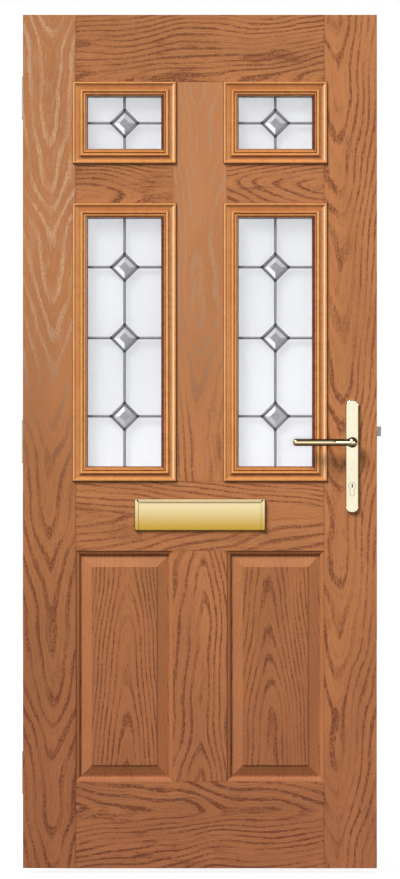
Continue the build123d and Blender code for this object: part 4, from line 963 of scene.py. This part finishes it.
class DOOR_OT_stage(bpy.types.Operator):
    """Set the pale floor, the studio lamps and the camera"""

    bl_idname = "door.stage"
    bl_label = "Stage"

    def execute(self, context):
        scene = context.scene
        scene.view_settings.view_transform = "Standard"
        floor_mesh = bpy.data.meshes.new("floor")
        reach, drop = 14.0, -0.012
        corners = [(x * reach, y * reach, drop) for x, y in ((-1, -1), (1, -1), (1, 1), (-1, 1))]
        floor_mesh.from_pydata(corners, [], [(0, 1, 2, 3)])
        floor = bpy.data.objects.new("floor", floor_mesh)
        scene.collection.objects.link(floor)
        floor_mesh.materials.append(self.floor_finish())
        self.world(scene)
        sun = bpy.data.lights.new("key_lamp", "SUN")
        sun.energy = 4.0
        sun.angle = math.radians(26.0)
        key = bpy.data.objects.new("key_lamp", sun)
        key.rotation_euler = Vector((0.46, 0.57, -0.68)).to_track_quat("-Z", "Y").to_euler()
        scene.collection.objects.link(key)
        fill = bpy.data.lights.new("fill_lamp", "AREA")
        fill.size = 0.8
        fill.energy = 36.0
        side = bpy.data.objects.new("fill_lamp", fill)
        side.location = (3.4, -4.6, 1.8)
        side.rotation_euler = (Vector((0.0, 0.0, 1.1)) - side.location).to_track_quat("-Z", "Y").to_euler()
        scene.collection.objects.link(side)
        self.camera(scene)
        return {"FINISHED"}

    def floor_finish(self):
        """Pale floor that shows white to the camera and keeps a soft shadow."""
        pale = Finish("pale_floor", roughness=0.9, base_color=(0.45, 0.45, 0.45, 1.0))
        x, y, z = pale.place()
        mottle = pale.noise(x * 2.0, y * 2.0, z, detail=2.0)
        path = pale.node("ShaderNodeLightPath")
        seen = seen_rays(pale.tree, path)
        light = pale.blend(mottle, (0.43, 0.43, 0.43), (0.47, 0.47, 0.47))
        pale.colour(pale.blend(seen, (0.12, 0.12, 0.12), light))
        mirrored = Field(pale.tree, path.outputs["Is Glossy Ray"])
        glow = seen * 0.75 + mirrored * y.math("ABSOLUTE").step(1.6, 3.4) * 0.85
        pale.shader.inputs["Emission Color"].default_value = (1.0, 1.0, 1.0, 1.0)
        pale.tree.links.new(glow.socket, pale.shader.inputs["Emission Strength"])
        return pale.material

    def world(self, scene):
        """White backdrop to the camera, and even soft light on the door."""
        world = bpy.data.worlds.new("studio")
        scene.world = world
        world.use_nodes = True
        tree = world.node_tree
        light = tree.nodes["Background"]
        path = tree.nodes.new("ShaderNodeLightPath")
        seen = seen_rays(tree, path)
        glossy = Field(tree, path.outputs["Is Glossy Ray"])
        spot = tree.nodes.new("ShaderNodeTexCoord")
        split = tree.nodes.new("ShaderNodeSeparateXYZ")
        tree.links.new(spot.outputs["Generated"], split.inputs[0])
        rise = Field(tree, split.outputs[2])
        front = Field(tree, split.outputs[1]).math("ABSOLUTE")
        mirror = front.step(0.80, 0.95) * 0.95 + rise.step(0.70, 0.95) * 0.14 + 0.05
        behind = Field(tree, split.outputs[1]).step(0.05, 0.85)
        soft = rise.step(-0.20, 0.50) * 0.34 + 0.10 + behind * 0.55
        level = (glossy * (mirror - soft) + soft).math("MAXIMUM", seen)
        tree.links.new(level.socket, light.inputs["Strength"])
        light.inputs["Color"].default_value = (1.0, 1.0, 1.0, 1.0)

    def camera(self, scene):
        """Long lens straight in front, framed as the photograph is."""
        distance, pixel, tall = 12.0, 0.0024405, 879
        data = bpy.data.cameras.new("camera")
        data.sensor_width = 36.0
        data.lens = data.sensor_width * distance / (tall * pixel)
        data.clip_end = 200.0
        camera = bpy.data.objects.new("camera", data)
        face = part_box("outer_skin")[0].y
        camera.location = (0.0002, face - distance, 1.0465)
        camera.rotation_euler = (math.radians(90.0), 0.0, 0.0)
        scene.collection.objects.link(camera)
        scene.camera = camera


class DOOR_PT_sidebar(bpy.types.Panel):
    """Sizes, colours and steps of the door"""

    bl_label = "Panelled front door"
    bl_idname = "DOOR_PT_sidebar"
    bl_space_type = "VIEW_3D"
    bl_region_type = "UI"
    bl_category = "Door"

    def draw(self, context):
        for group in (context.scene.door_sizes, context.scene.door_colours):
            for key in group.__annotations__:
                self.layout.prop(group, key)
        for step in STEPS:
            self.layout.operator(step.bl_idname)


STEPS = (
    DOOR_OT_skins, DOOR_OT_glazing, DOOR_OT_leadwork, DOOR_OT_seals,
    DOOR_OT_furniture, DOOR_OT_drives, DOOR_OT_stage,
)
CLASSES = (DoorSizes, DoorColours, *STEPS, DOOR_PT_sidebar)


def register():
    for made in CLASSES:
        bpy.utils.register_class(made)
    bpy.types.Scene.door_sizes = bpy.props.PointerProperty(type=DoorSizes)
    bpy.types.Scene.door_colours = bpy.props.PointerProperty(type=DoorColours)


def unregister():
    del bpy.types.Scene.door_colours
    del bpy.types.Scene.door_sizes
    for made in reversed(CLASSES):
        bpy.utils.unregister_class(made)


def main():
    register()
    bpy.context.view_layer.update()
    bpy.ops.door.skins()
    bpy.ops.door.glazing()
    bpy.ops.door.leadwork()
    bpy.ops.door.seals()
    bpy.ops.door.furniture()
    bpy.ops.door.drives()
    bpy.ops.door.stage()
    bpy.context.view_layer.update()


if __name__ == "__main__":
    main()
